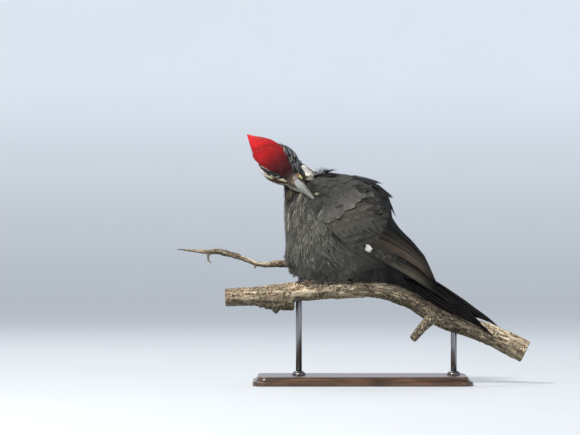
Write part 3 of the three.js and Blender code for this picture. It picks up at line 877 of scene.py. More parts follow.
def trunk_marks(p):
    """Warm charcoal, greyer on the breast, nearly black on the rump, under the tail and below the neck."""
    local = BODY.local(p)
    x, z = local[..., 0], local[..., 2]
    colour = np.broadcast_to(linear(84, 82, 76), p.shape)
    colour = mixed(colour, linear(88, 86, 80), smooth(12, -28, x) * smooth(24, -8, z))
    colour = mixed(colour, linear(44, 43, 42), smooth(-66, -74, x) * smooth(-30, 0, z))
    colour = mixed(colour, linear(50, 48, 45), smooth(34, 66, x) * smooth(10, -20, z))
    colour = mixed(colour, linear(20, 20, 22), smooth(58, 84, x))
    # Painted shade darkens the plumage in the fold along the bill's tip.
    return colour * (bill_tip_shade(p) * (0.88 + 0.24 * noise(p / 11.0, 14)))[..., None]


MARKS = {"head": head_marks, "crest": crest_marks, "neck": neck_marks}


def marks_at(p):
    """The colour of the plumage."""
    return by_owner(p, 1.2, MARKS, trunk_marks)


def shaded(colour, shape, dark=0.55, fringe=None, fringe_share=0.0, vary=0.12, shaft=0.0):
    """Each plume's colour along and across it: darkened at the root as painted shade, with a fringe and a
    shaft.
    """
    s, u, edge = shape[0], shape[1], shape[3]
    n = len(colour)
    # Painted shade: each plume darkens towards its root, which the plumes over it shade.
    lift = dark + (1 - dark) * smooth(0.0, 0.75, s)
    each = 1 + vary * rng.standard_normal(n)
    tint = colour[:, None] * lift[None, :, None] * np.clip(each, 0.6, 1.5)[:, None, None]
    if fringe is not None:
        rim = smooth(0.55, 1.0, edge) * smooth(0.35, 0.9, s)
        amount = np.broadcast_to(fringe_share, n)[:, None] * rim[None]
        tint = tint + (fringe - tint) * amount[..., None]
    if shaft:
        streak = shaft * rng.random(n)[:, None] * (np.abs(u) < 0.08)[None] * smooth(0.1, 0.5, s)[None]
        tint = tint + (fringe - tint) * streak[..., None]
    return tint


# ---------------------------------------------------------------- node materials

class Nodes:
    """A material's nodes, made in a few calls."""

    def __init__(self, name):
        self.material = bpy.data.materials.new(name)
        self.material.use_nodes = True
        self.tree = self.material.node_tree
        self.tree.nodes.clear()
        self.shader = self.tree.nodes.new("ShaderNodeBsdfPrincipled")
        output = self.tree.nodes.new("ShaderNodeOutputMaterial")
        self.tree.links.new(self.shader.outputs[0], output.inputs[0])

    def add(self, kind, inputs=None, **settings):
        node = self.tree.nodes.new("ShaderNode" + kind)
        for key, value in settings.items():
            setattr(node, key, value)
        for key, value in (inputs or {}).items():
            self.put(node.inputs[key], value)
        return node

    def put(self, socket, value):
        if isinstance(value, bpy.types.NodeSocket):
            self.tree.links.new(value, socket)
        elif isinstance(value, bpy.types.Node):
            self.tree.links.new(value.outputs[0], socket)
        elif hasattr(value, "__len__") and socket.type == "RGBA":
            socket.default_value = (*[float(x) for x in value][:3], 1)
        else:
            socket.default_value = value

    def attribute(self, name, output="Fac"):
        return self.add("Attribute", attribute_name=name).outputs[output]

    def tint(self):
        return self.attribute("Tint", "Color")

    def stretched(self, vector, scale, offset=0.0):
        return self.add("Mapping", {"Vector": vector, "Scale": scale, "Location": (offset,) * 3}).outputs[0]

    def math(self, operation, a, b=0.0, c=0.0):
        node = self.add("Math", operation=operation)
        for socket, value in zip(node.inputs, (a, b, c)):
            self.put(socket, value)
        return node.outputs[0]

    def mix(self, share, a, b, blend="MIX"):
        node = self.add("Mix", data_type="RGBA", blend_type=blend)
        for socket, value in zip((node.inputs[0], node.inputs[6], node.inputs[7]), (share, a, b)):
            self.put(socket, value)
        return node.outputs[2]

    def ramp(self, value, low, high):
        """From 0 at low to 1 at high."""
        return self.add("MapRange", {0: value, 1: low, 2: high, 3: 0.0, 4: 1.0}).outputs[0]

    def place(self):
        return self.add("TexCoord").outputs["Object"]

    def noise(self, scale, detail=3.0, vector=None, distortion=0.0):
        node = self.add("TexNoise", {"Vector": vector or self.place(), "Scale": scale, "Detail": detail})
        self.put(node.inputs["Distortion"], distortion)
        return node.outputs[0]

    def to_edge(self, scale, vector=None):
        """The distance from the nearest edge between irregular cells."""
        inputs = {"Vector": vector or self.place(), "Scale": scale}
        return self.add("TexVoronoi", inputs, feature="DISTANCE_TO_EDGE").outputs[0]

    def bump(self, height, strength, distance):
        node = self.add("Bump", {"Height": height, "Strength": strength, "Distance": distance})
        self.put(self.shader.inputs["Normal"], node)

    def set(self, **values):
        for key, value in values.items():
            self.put(self.shader.inputs[key.replace("_", " ")], value)
        return self.material


def feather_material(name, roughness, sheen, barbs, depth, gloss=0.35):
    """Barbs slant out from the shaft towards the tip; they show in the colour, the gloss and the surface."""
    k = Nodes(name)
    tint = k.tint()
    place = k.add("SeparateXYZ", {0: k.add("UVMap", uv_map="Vane").outputs[0]})
    across = k.math("ABSOLUTE", k.math("SUBTRACT", place.outputs[0], 0.5))
    slant = k.math("MULTIPLY_ADD", across, -0.55 * barbs, k.math("MULTIPLY", place.outputs[1], barbs))
    warped = k.math("ADD", slant, k.math("MULTIPLY", k.noise(420.0, 2.0), 2.2))
    wave = k.math("SINE", k.math("MULTIPLY", warped, 6.283))
    height = k.ramp(wave, -1.0, 1.0)
    patch = k.noise(95.0, 3.0)
    shade = k.math("ADD", k.math("MULTIPLY", height, 0.32), k.math("MULTIPLY_ADD", patch, 0.5, 0.56))
    grey = k.add("CombineXYZ", {0: shade, 1: shade, 2: shade})
    colour = k.mix(1.0, tint, grey.outputs[0], "MULTIPLY")
    shaft = k.math("LESS_THAN", across, 0.018)
    colour = k.mix(k.math("MULTIPLY", shaft, 0.35), colour, (0.16, 0.13, 0.1))
    k.bump(height, 0.55, depth)
    k.set(Roughness=k.math("MULTIPLY_ADD", patch, 0.25, roughness - 0.12), Base_Color=colour)
    return k.set(Sheen_Weight=sheen, Sheen_Roughness=0.45, Specular_IOR_Level=gloss)


def skin_material():
    k = Nodes("bird_skin")
    tint = k.tint()
    down = k.noise(900.0, 4.0)
    k.bump(down, 0.6, 0.0006)
    shade = k.ramp(down, 0.2, 0.8)
    return k.set(Base_Color=k.mix(shade, k.mix(0.5, tint, (0.01, 0.01, 0.01)), tint), Roughness=0.9)


PLUMAGE = feather_material("soft_plumage", 0.66, 0.04, 26.0, 0.0002, 0.22)
SILK = feather_material("crest_plumage", 0.55, 0.0, 34.0, 0.00015, 0.16)
VANES = feather_material("stiff_vanes", 0.55, 0.0, 110.0, 0.00012, 0.05)


# ---------------------------------------------------------------- the coat on the body

# Painted shade: the skin under the coat is drawn darker than the feathers over it.
SKIN_SHADE = 0.6  # how light the skin is against the feathers over it
paint(skin_object.data, np.clip(marks_at(skin_points) * SKIN_SHADE, 0, 1))
finish_piece(skin_object, skin_material(), FLESH)

LOCAL_HEAD = HEAD_AXES.local(SKIN_MIDDLE)
LOCAL_BODY = BODY.local(SKIN_MIDDLE)
OWNED = {n: SKIN_OWNER == n for n in FLESH}
EYES = [HEAD_AXES.world([EYE_AT[0], side * EYE_AT[1], EYE_AT[2]]) for side in (1, -1)]
EYE_OUT = [unit(HEAD_AXES.direction([0.12, side * 0.86, 0.5])) for side in (1, -1)]
EYE_OPEN = 3.3  # half width of the opening between the lids
LID_ROOM = 2.2  # half height of the bare skin about it
BILL_ROOM = 5.5  # how far the plumes' roots keep from the middle of the bill's root
SPACING = {"head": 1.05, "cheek": 0.95, "crest": 1.6, "neck": 2.1, "nape": 1.05}  # between roots
BILL_LINE = HEAD_AXES.world(np.stack([np.linspace(-4, BILL_LENGTH, 40), np.zeros(40), np.zeros(40)], -1))


def clear_of_eyes(roots, length):
    """The length each plume may have before its tip reaches an eye's opening; 0 where it grows in one."""
    d = flow_at(roots)
    for eye, out in zip(EYES, EYE_OUT):
        to_eye = eye - roots
        near = np.linalg.norm(to_eye, axis=-1) < 12
        flat = to_eye - dot(to_eye, out) * out
        ahead = (flat * d).sum(-1)
        beside = np.linalg.norm(flat - ahead[:, None] * d, axis=-1)
        in_line = near & (beside < LID_ROOM)
        limit = np.where(ahead > 0, np.maximum(ahead - EYE_OPEN - 0.2, 0), 99)
        length = np.where(in_line, np.minimum(length, limit), length)
        length = np.where(in_line & (np.abs(ahead) < EYE_OPEN + 0.4), 0, length)
    return length


def clear_of_bill(roots, room):
    """Whether roots lie farther from the bill than a room that shrinks towards its tip."""
    rooms = room * (1 - 0.7 * np.linspace(0, 1, len(BILL_LINE)) ** 2)
    return (np.linalg.norm(roots[:, None] - BILL_LINE[None], axis=-1) > rooms).all(-1)


def rooted(chosen, spacing, bill_room, over_nape=True):
    """Scattered roots that are clear of the bill and, if not over the nape, of its white stripe."""
    roots, bake = scattered(chosen, spacing)
    keep = clear_of_bill(roots, bill_room)
    if not over_nape:
        keep &= nape_white(roots) < 0.5
    return roots[keep], bake[keep]


def jitter(n, share):
    """Numbers about 1, up to a share more or less."""
    return 1 + share * (2 * rng.random(n) - 1)


def head_coat():
    """Tiny feathers, whose colour follows the bands of the face point by point."""
    piece = Piece("coat_head")
    tiny = vane(6, 3, rounded, 0.25)
    face = OWNED["head"] & (LOCAL_HEAD[:, 0] < 2)
    roots, bake = rooted(face, SPACING["head"], BILL_ROOM + 0.1, over_nape=False)
    x = HEAD_AXES.local(roots)[:, 0]
    length = clear_of_eyes(roots, (3.8 + 5.0 * smooth(-4, -50, x)) * jitter(len(roots), 0.2))
    keep = length > 1
    roots, bake, length, x = roots[keep], bake[keep], length[keep], x[keep]
    n = len(roots)
    local = HEAD_AXES.local(roots)
    cheek = (local[:, 1] > 4) * smooth(-14, -24, x) * smooth(-5, 8, cheek_angle(local))
    cheek = cheek * (rng.random(n) < 0.35)
    length = length * (1 + 0.25 * cheek)
    high = -0.5 + 0.7 * rng.random(n) * smooth(1, 6, length) + 1.8 * cheek * rng.random(n)
    points = laid(
        roots, tiny, length, 0.13 * length + 0.5, -COAT_DEPTH["head"], high,
        turn=0.16 * rng.standard_normal(n), free=0.3 * cheek, steps=4,
    )
    strayed = points + 0.45 * rng.standard_normal((n, 1, 3))
    tint = head_marks(strayed) * shaded(np.ones((n, 3)), tiny, 0.7, vary=0.10)
    piece.add(points, tiny, bake, tint)
    return piece


def cheek_streaks():
    """Black strokes, some with painted silvery sheen, a few white, over the ruffled left cheek, breaking its
    outline.
    """
    piece = Piece("coat_cheek")
    shape = strand(6)
    a = cheek_angle(LOCAL_HEAD)
    left_cheek = (LOCAL_HEAD[:, 1] > 3) & (a > -20) & (a < 53) & (np.abs(LOCAL_HEAD[:, 0] + 27) < 19)
    roots, bake = scattered(OWNED["head"] & left_cheek, SPACING["cheek"])
    length = clear_of_eyes(roots, 10 * jitter(len(roots), 0.3))
    keep = (length > 3) & (nape_white(roots) < 0.5)
    roots, bake, length = roots[keep], bake[keep], length[keep]
    n = len(roots)
    back = smooth(-12, -40, HEAD_AXES.local(roots)[:, 0])
    points = laid(
        roots, shape, length, 0.42 * jitter(n, 0.3), 0.1, 0.4 + (0.8 + 1.7 * back) * rng.random(n),
        turn=0.12 * rng.standard_normal(n), free=0.3, curl=1.0, steps=5,
    )
    pick = rng.random(n)
    # Painted sheen: the silvery strokes are black feathers catching the light.
    sheen_grey = linear(136, 140, 146) * jitter(n, 0.4)[:, None]
    colour = np.where((pick < 0.4)[:, None], sheen_grey, linear(17, 17, 19))
    colour = np.where((pick > 0.965)[:, None], PALE, colour)
    piece.add(points, shape, bake, shaded(colour, shape, 0.75, vary=0.1))
    return piece


def brow_coat():
    """Short feathers of the brow, which shade the half closed eyes."""
    piece = Piece("coat_brows")
    shape = vane(7, 3, rounded, 0.3)
    # [side, how many, how far forward they start]
    for (side, n, forward), eye, out in zip(((1, 90, -4.5), (-1, 125, -8)), EYES, EYE_OUT):
        up = HEAD_AXES.direction([0, 0, 1])
        up = unit(up - out * (up @ out))
        back = unit(np.cross(out, up)) * np.sign(np.cross(out, up) @ HEAD_AXES.direction([-1, 0, 0]))
        step = rng.uniform(forward, 4.5, n)[:, None]
        above = rng.uniform(3.2, 6.4, n)[:, None]
        start = COAT.project(eye + out * 3.2 + up * above + back * step, -0.7, 4)
        high = np.maximum(5.7 - 0.05 * step**2, 3.6) * jitter(n, 0.04)[:, None]
        low = 0.35 * above - 0.9 + 0.035 * np.minimum(step**2, 12)
        end = eye + out * high + up * low + back * (step + 2.6)
        points = strung(start, end, shape, 0.75, unit(np.cross(end - start, out)), out * 0.7)
        dark = smooth(4.5, 4.9, above[:, 0]) if side < 0 else 1 - 0.25 * rng.random(n)
        colour = mixed(BAND_COLOURS["cream"], BAND_COLOURS["black"], dark)
        piece.add(points, shape, nearest_uv(start), shaded(colour, shape, 0.8, vary=0.12))
    return piece


def fold_line(y):
    """Where, along the head, the crown's long feathers end over those of the crest's tip."""
    return -55 + 0.6 * y


def crest_coat():
    """Silky feathers in two tiers: the crown's end in a soft fold, the hind ones run into the tip."""
    piece = Piece("coat_crest")
    silk = vane(12, 5, slender, 0.12)
    edge = np.where(LOCAL_HEAD[:, 1] > 0, 56, 50)
    crown = OWNED["crest"] | (OWNED["head"] & (LOCAL_HEAD[:, 0] < -9) & (cheek_angle(LOCAL_HEAD) > edge))
    roots, bake = scattered(crown, SPACING["crest"])
    local = HEAD_AXES.local(roots)
    tip_at = HEAD_AXES.world(np.array(CREST_TIP) + [-1.0, 0, 0.3])
    to_tip = np.linalg.norm(tip_at - roots, axis=-1)
    n = len(roots)
    length = (9 + 22 * smooth(-6, -46, local[:, 0])) * jitter(n, 0.12)
    to_fold = local[:, 0] - fold_line(local[:, 1])
    folded = (to_fold > 9) & (to_fold < 30) & (local[:, 2] > 12) & (rng.random(n) < 0.7)
    length = np.where(folded, to_fold * jitter(n, 0.06), np.minimum(length, to_tip + 1.5))
    high = np.where(folded, 0.75 + 0.35 * rng.random(n), -0.5 + 0.6 * rng.random(n) * smooth(8, 30, to_tip))
    high = np.where((to_fold < 9) & ~folded, np.minimum(high, -0.4), high)
    points = laid(
        roots, silk, length, 1.3 + 0.03 * length, -COAT_DEPTH["crest"] + 0.2, high,
        turn=0.06 * rng.standard_normal(n), camber=0.15,
    )
    spread = np.linalg.norm(points[:, -3:] - tip_at, axis=-1).min(-1)
    drawn = (smooth(15, 6, spread))[:, None] * smooth(0.5, 1.0, silk[0])[None]
    points = points + (tip_at - points) * (0.9 * drawn)[..., None]
    place = HEAD_AXES.local(points)
    behind = fold_line(place[..., 1]) - place[..., 0]
    red = crown_red_and_shade(place[..., 0] + 1.5 * rng.standard_normal((n, 1)))
    # Painted shadow just behind the fold line, and a painted highlight on the folded feathers' ends along it.
    fold_shadow = smooth(-0.5, 0.6, behind) * smooth(4.5, 1.0, behind)
    fold_shadow = fold_shadow * ~folded[:, None] * smooth(14, 18, place[..., 2])
    lit = folded[:, None] * smooth(-7, -0.5, -np.abs(behind)) * smooth(0.6, 1.0, silk[0])[None]
    red = red * (1 - 0.45 * fold_shadow + 0.22 * lit)[..., None]
    piece.add(points, silk, bake, red * shaded(np.ones((n, 3)), silk, 0.72, vary=0.07))
    return piece


def neck_coat():
    """Loose feathers of the throat and the sides of the neck."""
    piece = Piece("coat_neck")
    loose = barbed(7, wispy, 0.34)
    near = OWNED["neck"] | (OWNED["trunk"] & (SKIN_SHARES[:, FLESH.index("neck")] > 0.2))
    roots, bake = rooted(near, SPACING["neck"], BILL_ROOM, over_nape=False)
    n = len(roots)
    points = laid(
        roots, loose, 12 * jitter(n, 0.25), 2.4 * jitter(n, 0.2), -COAT_DEPTH["neck"],
        -0.6 + 1.8 * rng.random(n) ** 2, turn=0.2 * rng.standard_normal(n), free=0.15,
    )
    colour = marks_at(points[:, len(loose[0]) // 2])
    piece.add(points, loose, bake, shaded(colour, loose, 0.6, PALE, 0.15 * rng.random(n) ** 2, 0.15))
    return piece


def one_way(direction):
    """A lie that is the same everywhere."""
    return lambda p: unit(np.array(direction) + 0 * p)


def nape_coat():
    """The white stripe on the neck stands out full and soft, with a few buff tufts at its lower end."""
    piece = Piece("coat_nape")
    puff = vane(7, 5, rounded, 0.3)
    roots, bake = scattered(nape_white(SKIN_MIDDLE) > 0.3, SPACING["nape"])
    n = len(roots)
    points = laid(
        roots, puff, 8 * jitter(n, 0.12), 2.3, -0.6, 1.5 + 0.9 * rng.random(n),
        turn=0.1 * rng.standard_normal(n), free=0.1, steps=4, flow=one_way([0.15, -0.6, -0.78]),
    )
    low_end = smooth(276, 270, points[..., 2].mean(1)) * (0.3 + 0.7 * rng.random(n))
    colour = mixed(WHITE, linear(172, 152, 96), low_end)
    piece.add(points, puff, bake, shaded(colour, puff, 0.92, vary=0.03))
    return piece


def locks(p):
    """Where the loose coat gathers in long locks (towards 1) and parts between them (towards 0)."""
    return noise(p / [5.0, 5.0, 17.0], 21)


def swirl(p, spread):
    """How far each plume turns from the lie: at random, and together with those near it."""
    return spread * rng.standard_normal(len(p)) + 0.5 * (noise(p / 12.0, 22) - 0.5)


WING_SHARES = [FLESH.index("wing_left"), FLESH.index("wing_right")]


def body_coat(
    name, chosen, spacing, shape, length, half, rise, ragged=0.0, fringe=0.2, clumps=0.0, bright=1.0,
    tucked=False,
):
    """A tract of contour feathers on the chosen faces of the skin; the tips stand rise[0] to rise[1] off it.

    clumps darkens the gaps between its locks with painted shade; tucked leaves out what would lie over the
    wings.
    """
    piece = Piece(name)
    roots, bake = rooted(chosen, spacing, BILL_ROOM)
    n = len(roots)
    wild = ragged * (rng.random(n) < 0.2)
    lock = locks(roots)
    spread = 0.4 * rng.random(n) ** 1.6 + 0.6 * smooth(0.3, 0.7, lock)
    high = rise[0] + (rise[1] - rise[0]) * spread + 2.4 * wild
    high = high + 6.0 * smooth(-82, -94, roots[:, 0]) * smooth(196, 172, roots[:, 2])
    points = laid(
        roots, shape, length * jitter(n, 0.2), half * jitter(n, 0.15), -COAT_DEPTH["trunk"] + 0.3, high,
        turn=swirl(roots, 0.14), free=0.12 + 0.3 * wild, camber=0.12,
    )
    if tucked:
        clear = shares(points[:, -1])[:, WING_SHARES].max(-1) < 0.4
        points, bake, lock = points[clear], bake[clear], lock[clear]
        n = len(points)
    colour = marks_at(points[:, len(shape[0]) // 2])
    # Painted shade in the gaps between the locks.
    colour = colour * (1 - clumps * smooth(0.52, 0.30, lock))[:, None] * bright
    piece.add(points, shape, bake, shaded(colour, shape, 0.68, PALE, fringe * rng.random(n) ** 1.5, 0.08))
    return piece


def strand_coat(name, density, spacing, length, half, colour, rise, strength=0.85, flow=flow_at):
    """Hair-thin pale barbs over the loose coat; density gives the share kept at each place."""
    piece = Piece(name)
    shape = strand(6)
    region = (density(SKIN_MIDDLE) > 0.03) & ~OWNED["head"] & ~OWNED["crest"]
    roots, bake = scattered(region, spacing)
    keep = (rng.random(len(roots)) < density(roots)) & clear_of_bill(roots, 6)
    roots, bake = roots[keep], bake[keep]
    n = len(roots)
    points = laid(
        roots, shape, length * jitter(n, 0.3), half * jitter(n, 0.35), 0.2,
        rise * (0.35 + 0.65 * rng.random(n)), turn=swirl(roots, 0.15), free=0.25, curl=1.0, steps=5,
        flow=flow,
    )
    base = marks_at(points[:, 5])
    pale = (0.05 + 0.95 * rng.random(n) ** 2) * (0.4 + 0.6 * smooth(0.32, 0.55, locks(roots))) * strength
    tint = mixed(base * np.where(rng.random(n) < 0.3, 0.4, 1.0)[:, None], colour, pale)
    piece.add(points, shape, bake, shaded(tint, shape, 0.75, vary=0.12))
    return piece


TRUNKISH = OWNED["trunk"] | OWNED["leg_left"] | OWNED["leg_right"]
BODY_X, BODY_Y = LOCAL_BODY.T[:2]


def round_body(local):
    """0 over the back, 90 at the side and 180 under the belly."""
    return np.degrees(np.arctan2(np.abs(local[..., 1]), local[..., 2] - 5))


ROUND = round_body(LOCAL_BODY)
LOBE_EDGE = np.interp(BODY_X, [-52, -30, -20], [62, 68, 84])
UNDER_SCAPULARS = (ROUND < LOBE_EDGE) & (BODY_X > -52) & (BODY_X < 34)


def breast_streaks(p):
    """Many on the throat and upper breast, fewer down the belly, none on the smooth flank."""
    local = BODY.local(p)
    x, z = local[..., 0], local[..., 2]
    upper = 0.9 * smooth(0, -30, x) * smooth(16, 4, z) * (1 - 0.75 * smooth(222, 238, p[..., 2]))
    lower = 0.6 * smooth(34, -10, x) * smooth(-4, -20, z)
    return np.maximum(upper, lower)


THROAT_LINE = np.array([[-84, -31, 250], [-89, -31, 239], [-96, -25, 227], [-100, -17, 211]], float)
PALE_SPOT = np.array([-61.0, -46, 255.5])


def throat_streaks(p):
    """A few long pale ones down the throat."""
    beside = near_line(p, THROAT_LINE)
    lines = (1 - smooth(6, 10, beside)) * smooth(0.50, 0.60, noise(p / [2.2, 2.2, 40.0], 51))
    return 0.6 * lines


def pale_tuft():
    """A small pale tuft lifted by the bill, beside its tip."""
    piece = Piece("coat_pale_tuft")
    shape = vane(7, 3, rounded, 0.3)
    n = 22
    roots = COAT.project(PALE_SPOT + [0.8, 1.1, 0.9] * rng.standard_normal((n, 3)), -0.8, 6)
    points = laid(
        roots, shape, 3.4 * jitter(n, 0.3), 0.9, 0.3, 1.1 + 0.5 * rng.random(n),
        turn=0.25 * rng.standard_normal(n), free=0.1, steps=4,
    )
    colour = mixed(linear(178, 184, 152), linear(110, 112, 92), rng.random(n))
    piece.add(points, shape, nearest_uv(roots), shaded(colour, shape, 0.8, vary=0.1))
    return piece


for coat in (head_coat, cheek_streaks, brow_coat):
    coat().build(PLUMAGE, "face_feathers")
crest_coat().build(SILK, "red_feathers")
for coat in (neck_coat, nape_coat, pale_tuft):
    coat().build(PLUMAGE, "face_feathers")

LOOSE = barbed(8, wispy, 0.36)
FULL = barbed(9, rounded, 0.26)
FAR_SIDE = BODY_Y >= 0
FRONT = TRUNKISH & (BODY_X < 2) & ~UNDER_SCAPULARS
UNDER = TRUNKISH & (BODY_X >= 2) & (BODY_X < 82) & (ROUND >= 84)
REAR = TRUNKISH & (BODY_X >= 34) & ((ROUND < 84) | (BODY_X >= 82))
# The loose underside: name, faces, spacing, length, half width and other numbers of body_coat.
LOOSE_TRACTS = [
    ("coat_breast", FRONT, 2.7, 14, 2.5, {"ragged": 0.5, "clumps": 0.5, "bright": 1.16}),
    ("coat_belly", UNDER, 3.2, 24, 4.4, {"ragged": 0.25, "clumps": 0.1}),
]
LOOSE_RISE = (-0.4, 1.8)
for name, region, spacing, length, half, numbers in LOOSE_TRACTS:
    for suffix, of_side, more in (("", ~FAR_SIDE, 0.0), ("_far", FAR_SIDE, 0.4)):
        chosen = region & of_side
        coat = body_coat(name + suffix, chosen, spacing + more, LOOSE, length, half, LOOSE_RISE, **numbers)
        coat.build(PLUMAGE, "black_feathers")
for coat in (
    body_coat("coat_rump", REAR, 3.4, FULL, 24, 5.2, (-0.6, 0.4), 0.1, 0.1, tucked=True),
    strand_coat("coat_streaks", breast_streaks, 1.35, 6.2, 0.26, linear(182, 182, 168), 1.7),
    strand_coat(
        "coat_throat", throat_streaks, 1.1, 12, 0.5, linear(232, 232, 206), 2.6, 1.25,
        one_way(unit(np.array([-0.4, -0.25, -0.9]))),
    ),
):
    coat.build(PLUMAGE, "black_feathers")


# ---------------------------------------------------------------- back and shoulders

def around_trunk(x, degrees):
    """A point of the trunk at a body x and an angle from the middle of the back, to the right if positive."""
    back, belly, half = np.moveaxis(at_x(TRUNK, x), -1, 0)
    a = np.radians(degrees)
    height = (back + belly) / 2 + (back - belly) / 2 * np.cos(a)
    return BODY.world(np.stack([x, half * np.sin(a), height], -1))


BROAD = vane(17, 9, rounded)


def back_marks(p):
    """Ashy on the shoulders, nearly black along the middle of the back and over the rump."""
    local = BODY.local(p)
    x = local[..., 0]
    edge = np.interp(x, [-60, -20, 6, 22, 40], [13, 14, 19, 27, 44]) + 6 * (noise(p / 7.0, 42) - 0.5)
    top = 1 - smooth(edge - 5, edge + 5, round_body(local))
    tone = 0.72 + 0.6 * smooth(0.25, 0.75, noise(p / [17.0, 17.0, 9.0], 41))
    side = smooth(-34, -20, x) * smooth(52, 74, round_body(local))
    ashy = mixed(linear(54, 54, 51) * tone[..., None], linear(82, 81, 76), side)
    # Painted shade darkens the plumage in the fold along the bill's tip.
    return mixed(ashy * bill_tip_shade(p)[..., None], linear(18, 19, 23), top)


# The lobes over the wing: body x and angle of each root, length, half width, how far the end stands off.
SHOULDER_LOBES = [
    (-33, 75, 28, 12, 3.2), (-29, 69, 29, 12, 4.0), (-24, 61, 28, 11, 4.2), (-22, 52, 26, 11, 3.8),
    (-18, 44, 24, 10, 3.2), (-8, 38, 22, 9, 2.6),
]


def shoulder_coat():
    """Smooth rows over the back; on each side they end in large pale-rimmed lobes that overhang the wing."""
    piece = Piece("coat_shoulders")
    rows = []
    for k, x in enumerate(np.arange(-66, 30, 5.8)):
        step = 8.6 + 2.0 * smooth(-60, 0, x)
        reach = np.interp(x, [-66, -56, -38, -28, -18, 0, 28], [54, 80, 96, 88, 54, 44, 40])
        angles = np.arange(-reach, reach + 0.1, step) + 0.5 * step * (k % 2)
        rows += [(x, a) for a in angles if abs(a) <= reach + 3]
    x, a = np.array(rows).T
    x = x + 1.4 * rng.standard_normal(len(x))
    a = a + 1.4 * rng.standard_normal(len(a))
    roots = around_trunk(x, a)
    keep = clear_of_bill(roots, 6) & (COAT.value(roots) > -9) & (nape_white(roots) < 0.4)
    roots, x, a = roots[keep], x[keep], a[keep]
    n = len(roots)
    size = smooth(-64, -20, x)
    high = 0.1 + 0.12 * rng.random(n) + 2.4 * (noise(roots / 22.0, 43) - 0.4) * smooth(12, 26, np.abs(a))
    points = laid(
        roots, BROAD, (17 + 15 * size) * jitter(n, 0.1), (6.6 + 3.6 * size) * jitter(n, 0.08),
        high - 0.75, high, turn=0.05 * rng.standard_normal(n), camber=0.02,
    )
    tint = back_marks(points) * shaded(np.ones((n, 3)), BROAD, 0.9, vary=0.05)
    piece.add(points, BROAD, nearest_uv(roots), tint)
    for root_x, degrees, length, half, off in SHOULDER_LOBES:
        for side in (-1, 1):
            root = around_trunk(np.array([root_x]), np.array([side * degrees]))
            points = laid(root, BROAD, length, half, -0.2, off, turn=-side * 0.08, free=0.2, camber=0.1)
            colour = mixed(linear(86, 85, 81), linear(72, 71, 67), rng.random(1))
            tint = shaded(colour, BROAD, 0.7, linear(142, 141, 122), 0.35, 0.02, 0.05)
            tint = tint * (0.8 + 0.4 * noise(points / [3.0, 3.0, 9.0], 47))[..., None]
            piece.add(points, BROAD, nearest_uv(root), tint)
    return piece


def bent(start, end, sag, shape, half, across, lift=0.0):
    """Points of one broad plume from start to end, whose middle sinks by sag; lift raises its edges."""
    s, u = shape[:2]
    t = np.clip(s, 0, 1)[:, None]
    along_it = unit(end - start)
    across = unit(across - along_it * (across @ along_it))
    up = np.cross(along_it, across)
    up = up * np.sign(up[2])
    middle = start * (1 - t) + end * t - up * (sag * 4 * t * (1 - t))
    return (middle + across * (half * u)[:, None] + up * (lift * u**2)[:, None])[None]


# Steps of the back's outline: body x and z of the tips, length, half width, and 1 where they lie loose.
BACK_TIERS = [
    (3, 82.5, 28, 9, 0), (14, 86, 28, 9, 1), (22, 79, 26, 9, 0), (35, 79, 27, 9.5, 1), (42, 66, 26, 9, 0),
    (51.5, 59.5, 25, 8.5, 1),
]


def ragged_back():
    """Long loose feathers whose dark ends break the back's outline in steps, and bristles over the mantle."""
    piece = Piece("coat_ragged_back")
    shape = vane(19, 9, rounded, 0.46)
    for tip_x, tip_z, length, half, loose in BACK_TIERS:
        for y in np.linspace(-16, 15, 9):
            drop = abs(y) / 15
            tip_x_of = tip_x - 2.5 * drop + (1.8 + 1.0 * loose) * rng.standard_normal()
            end = BODY.world([tip_x_of, 1.25 * y, tip_z - 6.5 * drop**1.5 - 0.8 * rng.random()])
            start = around_trunk(np.array([tip_x - length]), np.array([1.1 * y]))[0]
            side = BODY.direction([0.1 * y / 15, 1, -0.4 * y / 15])
            points = bent(start, end, -1.0 + 1.2 * rng.random(), shape, 0.72 * half, side, -1.0)
            colour = linear(17, 18, 22) * (0.8 + 0.5 * rng.random())
            tint = shaded(colour[None], shape, 0.75, ASH, 0.2 * rng.random(), 0.05)
            piece.add(points, shape, nearest_uv(points[:, 0]), tint)
    standing = vane(9, 5, rounded, 0.3)
    for t in np.linspace(0, 1, 60):
        y = rng.uniform(-9, 14)
        start = np.array([-66 + 18 * t + rng.uniform(-1, 1), y, 276 + 5 * t])
        start = COAT.project(start[None], -1.5, 4)[0]
        end = start + np.array([7 + 7 * t, 0.1 * y, 11.5 - 6.5 * t]) * rng.uniform(0.7, 1.2)
        points = bent(start, end, -1.6, standing, 1.8, np.array([0.2, 1.0, 0.3]))
        colour = linear(19, 20, 25) * (0.7 + 0.8 * rng.random())
        tint = shaded(colour[None], standing, 0.75, ASH, 0.15, 0.05)
        piece.add(points, standing, nearest_uv(points[:, 0]), tint)
    wisp = barbed(6, slender, 0.5)
    n = 150
    x = rng.uniform(-70, -46, n)
    a = rng.uniform(-34, 30, n)
    roots = around_trunk(x, a)
    rise = BODY.direction([0.95, 0, 0.22]) * 0.8 + [0, 0, 0.5]
    d = unit(rise + 0.2 * rng.standard_normal((n, 3)))
    s, u = wisp[:2]
    length = rng.uniform(8, 15, n)
    points = roots[:, None] + d[:, None] * (length[:, None] * np.clip(s, 0, 1)[None])[..., None]
    points = points + np.array([0, 1.0, 0]) * (1.1 * u)[None, :, None]
    dark = np.broadcast_to(linear(26, 25, 26), (n, 3))
    piece.add(points, wisp, nearest_uv(roots), shaded(dark, wisp, 0.7, vary=0.1))
    return piece


